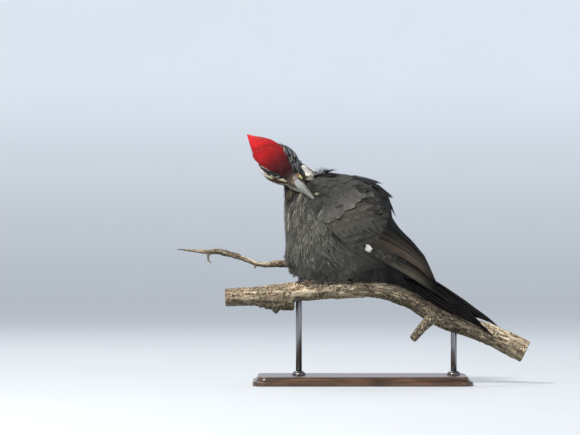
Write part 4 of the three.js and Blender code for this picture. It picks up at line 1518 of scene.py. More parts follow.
def messy_coverts():
    """A ruffled group of small pale-ended feathers where the shoulder meets the wing."""
    piece = Piece("coat_ruffled")
    shape = vane(12, 7, rounded, 0.22)
    for side in (-1, 1):
        n = 26
        x = rng.uniform(-4, 34, n)
        a = side * (rng.uniform(-6, 8, n) + np.interp(x, [-4, 10, 20, 34], [40, 36, 46, 58]))
        roots = around_trunk(x - 10, a)
        points = laid(
            roots, shape, rng.uniform(9, 15, n), rng.uniform(3.2, 4.8, n), 0.5, rng.uniform(2.0, 6.0, n),
            turn=-side * (0.15 + 0.6 * rng.random(n)), free=0.45, camber=0.4,
        )
        colour = mixed(linear(44, 42, 40), linear(14, 14, 14), rng.random(n) ** 0.8)
        tint = shaded(colour, shape, 0.55, linear(168, 164, 140), 0.75 * rng.random(n), 0.1)
        piece.add(points, shape, nearest_uv(roots), tint)
    return piece


def wood_top(x, y=None):
    """The height of the branch or its burl at x and y, or along its crest if no y is given."""
    rows = [at_x(table, x) for table in (BRANCH, BURL)]
    beside = [0 if y is None else y - middle for middle, _, _ in rows]
    return max(z + math.sqrt(max(0, r**2 - off**2)) for (_, z, r), off in zip(rows, beside))


def skirt_coat():
    """Belly feathers that hang over the branch and hide the toes, as a resting bird's do."""
    piece = Piece("coat_skirt")
    shape = barbed(9, wispy, 0.38)
    n = 520
    x = rng.uniform(-97, 30, n)
    side = np.where(rng.random(n) < 0.5, -1, 1)
    wood = np.array([wood_top(at) for at in x])
    out = rng.uniform(14, 27, n)
    front = smooth(-78, -92, x)
    start = np.stack([x + 2, side * out * (1 - 0.5 * front), wood + rng.uniform(14, 24, n)], -1)
    start = COAT.project(start, -1.5, 4)
    hang = rng.uniform(-4, 3, n) * (1 - 0.5 * front)
    end_out = np.maximum(np.abs(start[:, 1]) * 0.75, 15.0 + 1.5 * rng.random(n))
    lifted = np.interp(x, [-98, -90, -80, -63, -42], [160, 149.5, 141, 136.5, 134.5])
    lifted = lifted + rng.uniform(-2.5, 3, n)
    low = np.where(x < -45, np.maximum(wood + hang, lifted), wood + hang)
    end = np.stack([start[:, 0] - 2 + 3 * rng.standard_normal(n), side * end_out, low], -1)
    outward = np.stack([0 * x, side, 0 * x], -1)
    bow = outward * rng.uniform(1.0, 3.0, n)[:, None]
    points = strung(start, end, shape, 3.2, unit(np.cross(unit(end - start), outward)), bow[:, None])
    # Painted shade between the locks.
    colour = marks_at(start) * (0.7 + 0.35 * smooth(0.3, 0.6, locks(start)))[:, None]
    tint = shaded(colour, shape, 0.7, PALE, 0.3 * rng.random(n) ** 2, 0.1)
    piece.add(points, shape, nearest_uv(start), tint)
    return piece


for coat in (shoulder_coat, ragged_back, messy_coverts, skirt_coat):
    coat().build(PLUMAGE, "black_feathers")


# ---------------------------------------------------------------- wings and tail

def blade_point(table, side, x, s, lift, bulge_share=None):
    """A point lift off a blade's outer face, where s runs from its upper edge to its lower one."""
    row = at_x(table, x)
    top_out, top_z, low_out, low_z = (row[..., k] for k in range(4))
    chord_out, chord_z = low_out - top_out, low_z - top_z
    size = np.hypot(chord_out, chord_z)
    bulge = row[..., 4] if bulge_share is None else bulge_share * size
    bow = bulge * 4 * s * (1 - s) * (np.abs(s - 0.5) < 0.5) + lift
    out = top_out + chord_out * s - chord_z / size * bow
    z = top_z + chord_z * s + chord_out / size * bow
    return BODY.world(np.stack([x, side * out, z], -1)), size


def stiff(s):
    """The outline of a flight feather: even, with a blunt point."""
    return min(1.0, (s / 0.1) + 0.25) * math.sqrt(max(0.0, 1 - max(0.0, (s - 0.86) / 0.145) ** 2))


def pointed(s):
    """The outline of a tail feather, which wears to a stiff point."""
    return min(1.0, (s / 0.1) + 0.25) * (1 - 0.93 * float(smooth(0.78, 1.02, s)))


class BladeCoat:
    """Stiff vanes laid on one blade, the wing's or a tail half's."""

    def __init__(self, piece, table, side, bulge_share=None):
        self.piece, self.table, self.side, self.bulge_share = piece, table, side, bulge_share

    def lay(self, shape, x0, x1, s0, s1, half, lift0, lift1, colour, outer=0.6, bow=0.0, **shading):
        """Points, map places and colours of vanes from (x0, s0) to (x1, s1), lift0 to lift1 off the blade."""
        s, u = shape[:2]
        rows = [np.atleast_1d(np.asarray(v, float)) for v in (x0, x1, s0, s1, half, lift0, lift1, bow)]
        n = max(len(r) for r in rows)
        x0, x1, s0, s1, half, lift0, lift1, bow = (np.broadcast_to(r, n)[:, None] for r in rows)
        x = x0 + (x1 - x0) * s
        ripple = 0.05 * np.sin(17 * s + 5 * np.arange(n)[:, None]) * np.abs(u)
        wide = np.where(u > 0, u * outer, u)
        centre = s0 + (s1 - s0) * s + bow * 4 * s * (1 - s)
        _, size = blade_point(self.table, self.side, x, centre, 0 * x, self.bulge_share)
        across = np.clip(centre + wide * half / size, -0.004, 1.004)
        lift = lift0 + (lift1 - lift0) * s - (0.22 + ripple) * u**2 * half * 0.5
        points, _ = blade_point(self.table, self.side, x, across, lift, self.bulge_share)
        tint = shaded(np.broadcast_to(colour, (n, 3)), shape, 0.8, **shading)
        return points, nearest_uv(points[:, 0]), tint

    def add(self, shape, laid_out, banded=0.0):
        """banded gives the share by which soft slanting bands lighten and darken the vanes."""
        points, bake, tint = laid_out
        local = BODY.local(points)
        across = 0.80 * local[..., 0] - 0.60 * local[..., 2] + 3.0 * noise(local / 12.0, 61)
        wave = np.sin(across * (2 * np.pi / 8.6)) * (0.4 + noise(local / 9.0, 62))
        self.piece.add(points, shape, bake, tint * (1 + banded * wave)[..., None])


QUILL = vane(44, 9, stiff, 0.10)
COVERT = vane(17, 9, rounded, 0.14)
RECTRIX = vane(48, 9, pointed, 0.14)
TORN = vane(11, 7, rounded, 0.4)
WHITE_SPOT = [46.9, 1.8]  # body x and z of the middle of the white mark on the folded wing
WHITE_REACH = [4.8, 3.6]
BROWN_BLACK = linear(34, 32, 30)
BLUE_BLACK = linear(9, 9, 11)
EARTH = linear(102, 92, 81)
STONE = linear(150, 148, 128)


def spotted(points, tint):
    """The white bases of the flight feathers, where they show beside the coverts."""
    local = BODY.local(points)
    x, z = local[..., 0] - WHITE_SPOT[0], local[..., 2] - WHITE_SPOT[1]
    d = np.hypot(x / WHITE_REACH[0], (z - 0.25 * x) / WHITE_REACH[1])
    d = d + 0.3 * (noise(points / 1.8, 3) - 0.5)
    return tint + (WHITE * 1.05 - tint) * (1 - smooth(0.86, 1.02, d))[..., None]


# The rows of smaller coverts from the wing's middle forward: body x of the tips, length, how many.
COVERT_ROWS = [(31, 24, 15), (18, 21, 15), (6, 18, 14), (-6, 16, 12), (-15, 13, 10)]


def wing_coat(name, side):
    """Flight feathers, then the coverts over them in rows, and the white mark beside them."""
    piece = Piece(name)
    coat = BladeCoat(piece, WING, side)
    k = np.arange(9)
    tips = [151, 158, 165, 172, 178, 183, 187, 189, 181]
    ends = [0.42, 0.40, 0.38, 0.38, 0.40, 0.44, 0.50, 0.60, 0.86]
    # Painted highlight: the outer primaries are lighter and paler-edged where the wing's lower edge catches
    # the light.
    lit = np.array([0, 0, 0, 0, 0, 0, 0.15, 0.45, 0.8])
    primaries = coat.lay(
        QUILL, 34 + 1.5 * k, tips, 0.70 + 0.034 * k, ends, 5.6 - 0.22 * k, -1.6 - 0.14 * k, -0.75 - 0.13 * k,
        mixed(BLUE_BLACK, linear(100, 96, 82), 0.8 * lit), fringe=STONE,
        fringe_share=0.05 + 0.3 * lit, vary=0.04, bow=0.02,
    )
    k = np.arange(10)
    brown = np.array([0, 0, 0.05, 0, 0.3, 0.1, 0.55, 0.2, 0.9, 0.75])
    secondaries = coat.lay(
        QUILL, 16 + 1.2 * k, 118 + 3.5 * k, 0.14 + 0.074 * k, 0.05 + 0.042 * k, 8.2, -0.35 - 0.12 * k,
        0.15 - 0.11 * k, mixed(BROWN_BLACK, linear(94, 82, 71), 0.8 * brown), fringe=EARTH,
        fringe_share=0.08 + 0.3 * brown, vary=0.05,
    )
    k = np.arange(4)
    tertials = coat.lay(
        QUILL, 12 + 2.0 * k, 92 + 9 * k, 0.03 + 0.05 * k, 0.04 + 0.035 * k, 9.0, 0.35 - 0.1 * k,
        0.7 - 0.15 * k, linear(26, 26, 27), fringe=STONE, fringe_share=0.03, vary=0.05,
    )
    points, bake, tint = primaries
    primaries = (points, bake, mixed(linear(64, 59, 52), tint, smooth(56, 96, BODY.local(points)[..., 0])))
    for group in (primaries, secondaries, tertials):
        points, bake, tint = group
        tint = mixed(tint, BLUE_BLACK, 0.92 * smooth(112, 152, BODY.local(points)[..., 0]))
        coat.add(QUILL, (points, bake, spotted(points, tint)))
    k = np.arange(14)
    greater = coat.lay(
        COVERT, 2 + 5 * smooth(0, 6, k), 46 + 5 * smooth(0, 5, k) - 5 * smooth(8, 13, k), 0.04 + 0.068 * k,
        0.06 + 0.068 * k + 0.01 * rng.standard_normal(14), 6.8, -0.3 - 0.03 * k, 1.0 - 0.03 * k,
        linear(66, 64, 59), fringe=STONE, fringe_share=0.04 + 0.08 * rng.random(14), vary=0.06,
    )
    k = np.arange(7)
    primary_coverts = coat.lay(
        COVERT, 26 + 2 * k, 45 + 7 * k, 0.84 + 0.022 * k, 0.86 + 0.02 * k, 3.6, -0.1, 0.5 - 0.04 * k,
        linear(60, 57, 52), fringe=STONE, fringe_share=0.03, vary=0.05,
    )
    points, bake, tint = primary_coverts
    coat.add(COVERT, (points, bake, spotted(points, tint)))
    coat.add(COVERT, greater, 0.3)
    for row, (x_tip, length, count) in enumerate(COVERT_ROWS):
        k = np.arange(count)
        s = (k + 0.5 * (row % 2)) / (count - 0.5)
        tips = x_tip + 1.2 * rng.standard_normal(count)
        row_of = coat.lay(
            COVERT, tips - length, tips, s, s + 0.03 + 0.012 * rng.standard_normal(count), 5.8 - 0.4 * row,
            0.0 + 0.10 * row, 1.1 + 0.08 * row + 0.15 * rng.random(count), linear(74, 72, 67),
            fringe=STONE, fringe_share=0.03 + 0.05 * rng.random(count), vary=0.08,
        )
        coat.add(COVERT, row_of, 0.3)
    k = np.arange(8)
    slanting = coat.lay(
        COVERT, -24 + 6.2 * k, 3 + 6.4 * k, 0.84 - 0.085 * k, 1.0 - 0.078 * k, 4.4, 0.8, 1.6,
        linear(78, 76, 70), fringe=STONE, fringe_share=0.3, vary=0.05,
    )
    coat.add(COVERT, slanting)
    k = np.arange(4)
    white = coat.lay(
        TORN, 41 + 0.8 * k, np.array([48.5, 52, 51, 49.0]), 0.86 + 0.025 * k, 0.87 + 0.025 * k, 1.9, 1.1,
        2.1, WHITE, vary=0.02,
    )
    coat.add(TORN, white)
    return piece


# The upper and lower layer: how high they start and end, how much lower each next one lies, colour and rim.
TAIL_LAYERS = [(-0.5, 0.2, 0.3, linear(6, 6, 8), 0.012), (-3.4, -1.6, 0.0, linear(4, 4, 5), 0.0)]


def tail_coat(name, side):
    """Two layers of stiff feathers, each longer than the next one out."""
    piece = Piece(name)
    coat = BladeCoat(piece, TAIL[side], side, 0.12)
    end = TAIL[side][-1][0]
    k = np.arange(7)
    tips = end - np.array([16, 2, 0, 12, 26, 48, 96])
    outer = np.array([0.16, 0.36, 0.5, 0.62, 0.72, 0.82, 0.92])
    half = np.array([8.4, 8.2, 7.8, 7.4, 7.0, 6.4, 4.6])
    for lift0, lift1, slope, colour, fringe in TAIL_LAYERS:
        vanes = coat.lay(
            RECTRIX, 84 + 0 * k, tips, 0.10 + 0.13 * k, outer, half, lift0 - slope * k, lift1 - slope * k,
            colour, outer=0.7, fringe=ASH, fringe_share=fringe, vary=0.05,
        )
        coat.add(RECTRIX, vanes)
    return piece


for part, coat in (("wing", wing_coat), ("tail", tail_coat)):
    for side_name, side in (("left", LEFT), ("right", RIGHT)):
        node = f"{part}_{side_name}"
        coat(f"coat_{node}", side).build(VANES, "flight_feathers", [node])


# ---------------------------------------------------------------- bill and the bristles over its root

def horn_material(name, roughness, flute):
    k = Nodes(name)
    tint = k.tint()
    fluted = k.stretched(k.add("UVMap", uv_map="Vane").outputs[0], (1.2, 14.0, 1.0))
    streaks = k.noise(flute, 4.0, fluted)
    wear = k.noise(260.0, 4.0)
    colour = k.mix(k.math("MULTIPLY", streaks, 0.45), tint, k.mix(0.5, tint, (0.62, 0.6, 0.52)))
    colour = k.mix(k.ramp(wear, 0.56, 0.8), colour, k.mix(0.6, tint, (0.10, 0.09, 0.08)))
    k.bump(k.math("ADD", streaks, k.math("MULTIPLY", wear, 0.4)), 0.35, 0.00025)
    k.set(Base_Color=colour, Roughness=k.math("MULTIPLY_ADD", wear, 0.25, roughness - 0.1))
    return k.set(Specular_IOR_Level=0.5)


HORN = horn_material("bill_horn_grey", 0.36, 5.0)


# Colours of each half from the root to the tip.
HORN_COLOURS = {
    1: [linear(146, 152, 156), linear(76, 80, 74), linear(46, 46, 43)],
    -1: [linear(160, 162, 146), linear(126, 126, 106), linear(72, 72, 64)],
}


def bump_at(x, middle, width):
    """A smooth bump, 1 in the middle."""
    return np.exp(-(((x - middle) / width) ** 2))


def bill_half(name, width, height, length, up):
    """One half of the bill, a wall over a flat palate, drawn in to a chisel tip; up is 1 above, -1 below."""
    rings, steps, palate_steps = 56, 26, 9
    x = BILL_ROOT + (length - BILL_ROOT) * np.linspace(0, 1, rings) ** 0.9
    taper = 1 - (np.maximum(0, x) / length) ** BILL_TAPER_POWER
    half_width = BILL_TIP + (width - BILL_TIP) * taper
    rise = BILL_TIP_HEIGHT + (height - BILL_TIP_HEIGHT) * taper
    a = np.pi * np.arange(steps + 1) / steps
    from_edge = np.minimum(a, np.pi - a)
    groove = bump_at(from_edge, 0.62, 0.16)[None]
    ridge = bump_at(a, np.pi / 2, 0.2)[None]
    fade = (1 - smooth(14, 34, x))[:, None]
    form = 1 - 0.075 * groove * fade * (up > 0) + 0.05 * ridge
    y = half_width[:, None] * np.cos(a)[None] * form
    nostril = (up > 0) * bump_at(x, 4.2, 2.6)[:, None] * bump_at(from_edge, 0.55, 0.12)[None]
    z = GAP / 2 + rise[:, None] * np.sin(a)[None] ** 0.8 * form - 0.9 * nostril
    palate_y = half_width[:, None] * np.linspace(-0.86, 0.86, palate_steps)[None]
    y = np.concatenate([y, palate_y], 1)
    z = np.concatenate([z, np.full_like(palate_y, GAP / 2)], 1)
    columns = y.shape[1]
    tip = rings * columns
    ring = np.stack([np.broadcast_to(x[:, None], y.shape), y, up * z], -1)
    points = np.concatenate([ring.reshape(-1, 3), [[length + 0.5, 0, up * (GAP / 2 + 0.5)]]])
    last = (rings - 1) * columns + np.arange(columns)
    cap = np.stack([last, np.roll(last, -1), np.full(columns, tip)], -1)
    walls = halved(grid_faces(rings, columns, True))
    faces = np.concatenate([walls, cap] if up < 0 else [walls[:, ::-1], cap[:, ::-1]])
    share = np.append(np.repeat(np.linspace(0, 1, rings), columns), 1.0)
    base, middle, end = HORN_COLOURS[up]
    tint = mixed(mixed(base, middle, smooth(0.15, 0.55, share)), end, smooth(0.6, 1, share))
    if up > 0:
        bare = np.zeros(palate_steps)
        # Painted shade: darker along the ridge and at the edges of the sides.
        culmen = np.append(np.tile(np.concatenate([ridge[0], bare]), rings), 1.0)
        rim = np.append(np.tile(np.concatenate([bump_at(from_edge, 0, 0.30), bare]), rings), 0)
        tint = mixed(tint, linear(70, 71, 76), np.clip(0.7 * culmen + 0.6 * rim, 0, 1))
        # Painted shade in the slit of the nostril.
        dark = np.append(np.concatenate([nostril, np.zeros((rings, palate_steps))], 1).ravel(), 0)
        tint = mixed(tint, linear(18, 16, 15), np.clip(1.6 * dark, 0, 1))
    around = np.append(np.tile(np.linspace(0, 1, columns), rings), 0.5)
    o = make_mesh(name, HEAD_AXES.world(points), faces, uv=np.stack([share, around], -1), tint=tint)
    finish_piece(o, HORN, [name.replace("horn_", "bill_")])


bill_half("horn_upper", **UPPER_BILL)
bill_half("horn_lower", **LOWER_BILL)


# Paler and darker tufts over the nostrils: [x, z, radius, colour].
NOSTRIL_TUFTS = [
    (-84.2, 277.6, 2.0, linear(224, 218, 158)), (-87.2, 278.6, 1.6, linear(158, 112, 96)),
    (-90.5, 275.0, 2.6, linear(168, 158, 152)), (-93.0, 269.5, 2.2, linear(146, 128, 104)),
    (-88.2, 267.6, 1.5, linear(58, 26, 26)), (-82.5, 273.5, 2.2, linear(36, 34, 36)),
]


def bristle_coat():
    """Tufts that lie forward over the nostrils, and short ones that hide where the bill leaves the face."""
    piece = Piece("coat_bristles")
    shape = barbed(5, slender, 0.5)
    n = 820
    a = np.radians(rng.uniform(-50, 90, n))
    side = np.where(rng.random(n) < 0.5, -1, 1)
    nasal = np.exp(-(((a - 0.45) / 0.42) ** 2))
    x = rng.uniform(-8, 1.5, n) + 8.5 * nasal * rng.random(n)
    crown, throat, half = np.moveaxis(at_x(HEAD, x), -1, 0)
    height = (crown + throat) / 2 + (crown - throat) / 2 * np.sin(a) * 0.95
    local = np.stack([x, side * half * np.cos(a) * 0.95, height], -1)
    length = rng.uniform(5.5, 8.5, n) * (0.62 + 0.45 * nasal)
    s, u = shape[:2]
    inward = 0.22 + 0.12 * rng.random(n)
    d = np.stack([np.ones(n), -inward * np.cos(a) * side, -inward * np.sin(a)], -1)
    d = unit(d + 0.10 * rng.standard_normal((n, 3)))
    out = np.stack([0 * a, side * np.cos(a), np.sin(a)], -1)
    across = unit(np.cross(out, d))
    bow = 1.0 * np.sin(np.pi * np.clip(s, 0, 1))
    points = (
        local[:, None] + d[:, None] * (length[:, None] * s)[..., None] + out[:, None] * bow[None, :, None]
        + across[:, None] * (0.8 * u)[None, :, None]
    )
    brown = mixed(linear(116, 98, 88), linear(62, 44, 38), rng.random(n) ** 1.2)
    forehead = mixed(linear(58, 48, 46), linear(96, 84, 76), rng.random(n) ** 2)
    pale = mixed(linear(166, 166, 152), linear(108, 104, 90), rng.random(n) ** 1.5)
    low_side = mixed(linear(24, 24, 25), pale, (side < 0) * smooth(-0.5, -0.3, a))
    colour = mixed(mixed(brown, forehead, smooth(0.85, 1.2, a)), low_side, smooth(0.60, 0.30, a))
    world = HEAD_AXES.world(points)
    for spot_x, spot_z, radius, spot in NOSTRIL_TUFTS:
        reach = np.hypot(world[:, 2, 0] - spot_x, world[:, 2, 2] - spot_z)
        colour = mixed(colour, np.array(spot), 1 - smooth(radius, radius + 0.8, reach))
    piece.add(world, shape, nearest_uv(world[:, 0]), shaded(colour, shape, 0.7, CREAM, 0.2, 0.3))
    # Pale tufts of the right jaw run forward along the lower bill and widen its root.
    n = 260
    start = rng.uniform(-9, 10, n)
    length = rng.uniform(9, 13, n)
    x = start[:, None] + length[:, None] * s
    away = np.interp(x, [-9, 0, 8, 16, 24], [12.6, 10.8, 8.6, 6.4, 4.4]) - rng.uniform(0, 2.5, n)[:, None]
    z = rng.uniform(-4.5, 2.5, n)[:, None] * (1 - 0.4 * np.clip(s, 0, 1)) + 0.8 * u
    points = np.stack([x, -away + 0.25 * u, z], -1)
    jaw = mixed(linear(176, 178, 164), linear(98, 98, 84), rng.random(n) ** 1.8)
    world = HEAD_AXES.world(points)
    piece.add(world, shape, nearest_uv(world[:, 0]), shaded(jaw, shape, 0.8, WHITE, 0.15, 0.1))
    return piece


bristle_coat().build(PLUMAGE, "face_feathers")


# ---------------------------------------------------------------- eyes and lids

def eye_material():
    k = Nodes("eye_glossy")
    tint = k.tint()
    flecks = k.noise(1400.0, 3.0)
    k.set(Base_Color=k.mix(k.math("MULTIPLY", flecks, 0.5), tint, k.mix(0.6, tint, (0.25, 0.12, 0.02))))
    k.set(Roughness=k.math("MULTIPLY", flecks, 0.12))
    return k.set(Coat_Weight=1.0, Coat_Roughness=0.02, Specular_IOR_Level=0.6)


def lid_material():
    k = Nodes("eyelid_skin")
    folds = k.noise(1500.0, 4.0)
    k.bump(folds, 0.7, 0.0002)
    k.set(Base_Color=k.mix(k.ramp(folds, 0.3, 0.7), (0.010, 0.010, 0.011), (0.035, 0.035, 0.037)))
    return k.set(Roughness=0.5)


EYE = eye_material()
LID = lid_material()
# From the black pupil out: the distances from the middle where a colour begins and is full, and the colour.
IRIS_RINGS = [
    (1.35, 1.5, linear(226, 178, 46)), (2.3, 2.9, linear(122, 84, 22)), (2.9, 3.1, linear(70, 60, 50)),
]
LID_DROP = {"upper": 0.14, "lower": 0.42}  # how high the opening is, as shares of its half width
LID_REACH = 5.1  # outer radius of the lids
CORNEA = {"radius": 3.0, "height": 0.45}


def dome(radius, to_degrees, rings, sides):
    """Points of a cap about +z from its pole out, ring by ring, and the angle of each ring."""
    polar = np.radians(np.linspace(0.6, to_degrees, rings))
    turn = np.linspace(0, 2 * np.pi, sides, endpoint=False)
    ring = np.stack([np.cos(turn), np.sin(turn)], -1)
    flat = radius * np.sin(polar)[:, None, None] * ring[None]
    high = np.broadcast_to(radius * np.cos(polar)[:, None, None], (rings, sides, 1))
    return np.concatenate([flat, high], -1), polar


def turned(local, centre, out, up):
    """Points in the world whose z runs out of the head and whose y runs up it."""
    out = unit(out)
    up = unit(up - out * (up @ out))
    return centre + local @ np.stack([np.cross(up, out), up, out])


def build_eye(name, centre, out):
    """The glossy ball with a pupil and iris, and the lids over it."""
    up = HEAD_AXES.direction([0, 0, 1])
    rings, sides = 64, 56
    points, polar = dome(EYE_R, 178, rings, sides)
    reach = EYE_R * np.sin(polar) * (polar < np.pi / 2) + 99 * (polar >= np.pi / 2)
    bulge = CORNEA["height"] * np.clip(1 - (reach / CORNEA["radius"]) ** 2, 0, 1)
    points[..., 2] += bulge[:, None]
    tint = linear(8, 8, 9)
    for inner, outer, colour in IRIS_RINGS:
        tint = mixed(tint, colour, smooth(inner, outer, reach))
    world = turned(points.reshape(-1, 3), centre, out, up)
    o = make_mesh(name, world, grid_faces(rings, sides, True), tint=np.repeat(tint, sides, 0))
    finish_piece(o, EYE, [name.replace("ball_", "eye_")])
    # The lids are one ring of bare skin with an almond opening, the upper one lowered as the bird preens.
    rings = 12
    turn = np.linspace(0, 2 * np.pi, sides, endpoint=False)
    open_high = np.where(np.sin(turn) > 0, LID_DROP["upper"], LID_DROP["lower"])
    inner = EYE_OPEN * np.stack([np.cos(turn), np.sin(turn) * open_high], -1)
    outer = LID_REACH * np.stack([np.cos(turn), np.sin(turn)], -1)
    t = np.linspace(0, 1, rings)[:, None, None]
    flat = inner[None] * (1 - t) + outer[None] * t
    reach = np.linalg.norm(flat, axis=-1)
    sphere = np.sqrt(np.maximum(0, (EYE_R + 0.35) ** 2 - reach**2))
    crease = 0.28 * np.sin(np.pi * np.clip((t[..., 0] - 0.1) / 0.9, 0, 1) * 3.0) ** 2
    edge = 0.30 * np.exp(-((t[..., 0] / 0.12) ** 2))
    high = sphere + crease + edge - 1.1 * t[..., 0] ** 2
    tuck = np.concatenate([inner, np.sqrt(EYE_R**2 - (inner**2).sum(-1))[:, None] - 0.2], -1)[None]
    lid = np.concatenate([tuck, np.concatenate([flat, high[..., None]], -1)])
    world = turned(lid.reshape(-1, 3), centre, out, up)
    lids = make_mesh(name.replace("ball_", "lids_"), world, grid_faces(rings + 1, sides, True))
    finish_piece(lids, LID)


for side_name, centre, out in zip(("left", "right"), EYES, EYE_OUT):
    build_eye(f"ball_{side_name}", centre, out)


# ---------------------------------------------------------------- feet

def scale_material():
    k = Nodes("foot_scale_grey")
    tint = k.tint()
    crack = k.ramp(k.to_edge(900.0), 0.0, 0.12)
    dust = k.noise(300.0, 3.0)
    k.bump(crack, 0.5, 0.0003)
    plate = k.mix(k.math("MULTIPLY", dust, 0.4), tint, (0.3, 0.3, 0.28))
    k.set(Base_Color=k.mix(crack, (0.035, 0.035, 0.035), plate))
    return k.set(Roughness=k.math("MULTIPLY_ADD", dust, 0.2, 0.42))


def claw_material():
    k = Nodes("claw_horn_dark")
    grain = k.noise(700.0, 3.0)
    k.bump(grain, 0.2, 0.0001)
    k.set(Base_Color=k.mix(grain, (0.012, 0.012, 0.012), (0.06, 0.055, 0.05)))
    return k.set(Roughness=k.math("MULTIPLY_ADD", grain, 0.2, 0.2))


SCALES = scale_material()
CLAWS = claw_material()


def closed_tube(points, radii, sides, bumps=None):
    """A tube with both ends drawn in to a point, as points and triangles, and each point's share along it."""
    ring = tube(points, radii, sides, bumps)
    rings = len(ring)
    flat = ring.reshape(-1, 3)
    faces = [halved(grid_faces(rings, sides, True))]
    for row, flip in ((0, True), (rings - 1, False)):
        index = row * sides + np.arange(sides)
        cap = np.stack([index, np.roll(index, -1), np.full(sides, len(flat))], -1)
        faces.append(cap[:, ::-1] if flip else cap)
        flat = np.concatenate([flat, [ring[row].mean(0)]])
    share = np.concatenate([np.repeat(np.linspace(0, 1, rings), sides), [0, 1]])
    return flat, np.concatenate(faces), share


def gathered(parts):
    """Several meshes as one: points, triangles and shares."""
    offsets = np.cumsum([0] + [len(points) for points, _, _ in parts])
    moved = [(points, faces + start, share) for (points, faces, share), start in zip(parts, offsets)]
    return tuple(np.concatenate(column) for column in zip(*moved))


def scutes(rings, sides, count, height=0.08):
    """Overlapping plates across the upper side of a toe, as shares of its radius."""
    t = np.linspace(0, 1, rings)[:, None]
    a = np.linspace(0, 2 * np.pi, sides, endpoint=False)[None]
    step = (t * count) % 1.0
    return 1 + height * (1 - step) * (0.35 + 0.65 * np.clip(np.cos(a), 0, 1))


SHANK_R = 2.55
CLAW = {"radius": 1.45, "tip": 0.14, "curve": 5.6, "bend": 1.35}  # the radius and angle of its arc last


def build_foot(name, side):
    """The bare shank and four scaly toes that grip the branch, and their claws."""
    x, y = FOOT["x"], side * FOOT["out"]
    heel = np.array([x, y, wood_top(x, y) + 2.9])
    top = np.array([SHANK_TOP[0] + 4, side * (SHANK_TOP[1] + 3), SHANK_TOP[2] + 7])
    shank = along([top, (top + heel) / 2 + [0.5, 0, 0.5], heel - [0, 0, 0.4]], np.linspace(0, 1, 60))
    knuckles = 0.5 * np.abs(np.linspace(-1, 1, 60)) ** 3
    parts = [closed_tube(shank, SHANK_R + knuckles, 20, scutes(60, 20, 9))]
    claws = []
    for dx, out in TOES:
        reach = []
        for share in (0.0, 0.25, 0.5, 0.75, 1.0):
            px, py = x + share * dx, y + share * side * out
            reach.append([px, py, wood_top(px, py) + TOE_R * (1.0 + 0.35 * math.sin(3.1 * share)) + 0.45])
        reach[0][2] = heel[2] - 0.6
        line = along(reach, np.linspace(0, 1, 72))
        t = np.linspace(0, 1, 72)
        pads = TOE_R * (1.02 - 0.22 * t + 0.10 * np.sin(2 * np.pi * 3 * t + 0.6) ** 2)
        parts.append(closed_tube(line, pads, 20, scutes(72, 20, int(5 + abs(dx) / 2))))
        end, ahead = line[-1], unit(line[-1] - line[-8])
        bend = np.linspace(0, CLAW["bend"], 22)
        forward, up = np.sin(bend) * CLAW["curve"], (np.cos(bend) - 1) * CLAW["curve"]
        curve = end + np.outer(forward, ahead) + np.outer(up, [0, 0, 1]) - 1.2 * ahead + [0, 0, 0.5]
        radii = CLAW["radius"] * (1 - np.linspace(0, 1, 22) ** 1.5) + CLAW["tip"]
        claws.append(closed_tube(curve, radii, 16))
    points, faces, share = gathered(parts)
    grey = mixed(linear(96, 100, 102), linear(62, 64, 66), noise(points / 2.2, 17))
    foot = make_mesh(name, points, faces, tint=grey)
    finish_piece(foot, SCALES, [name.replace("scaled_", "")])
    points, faces = gathered(claws)[:2]
    finish_piece(make_mesh(name.replace("scaled_foot", "claws"), points, faces), CLAWS)


build_foot("scaled_foot_left", LEFT)
build_foot("scaled_foot_right", RIGHT)


# ---------------------------------------------------------------- branch and twig

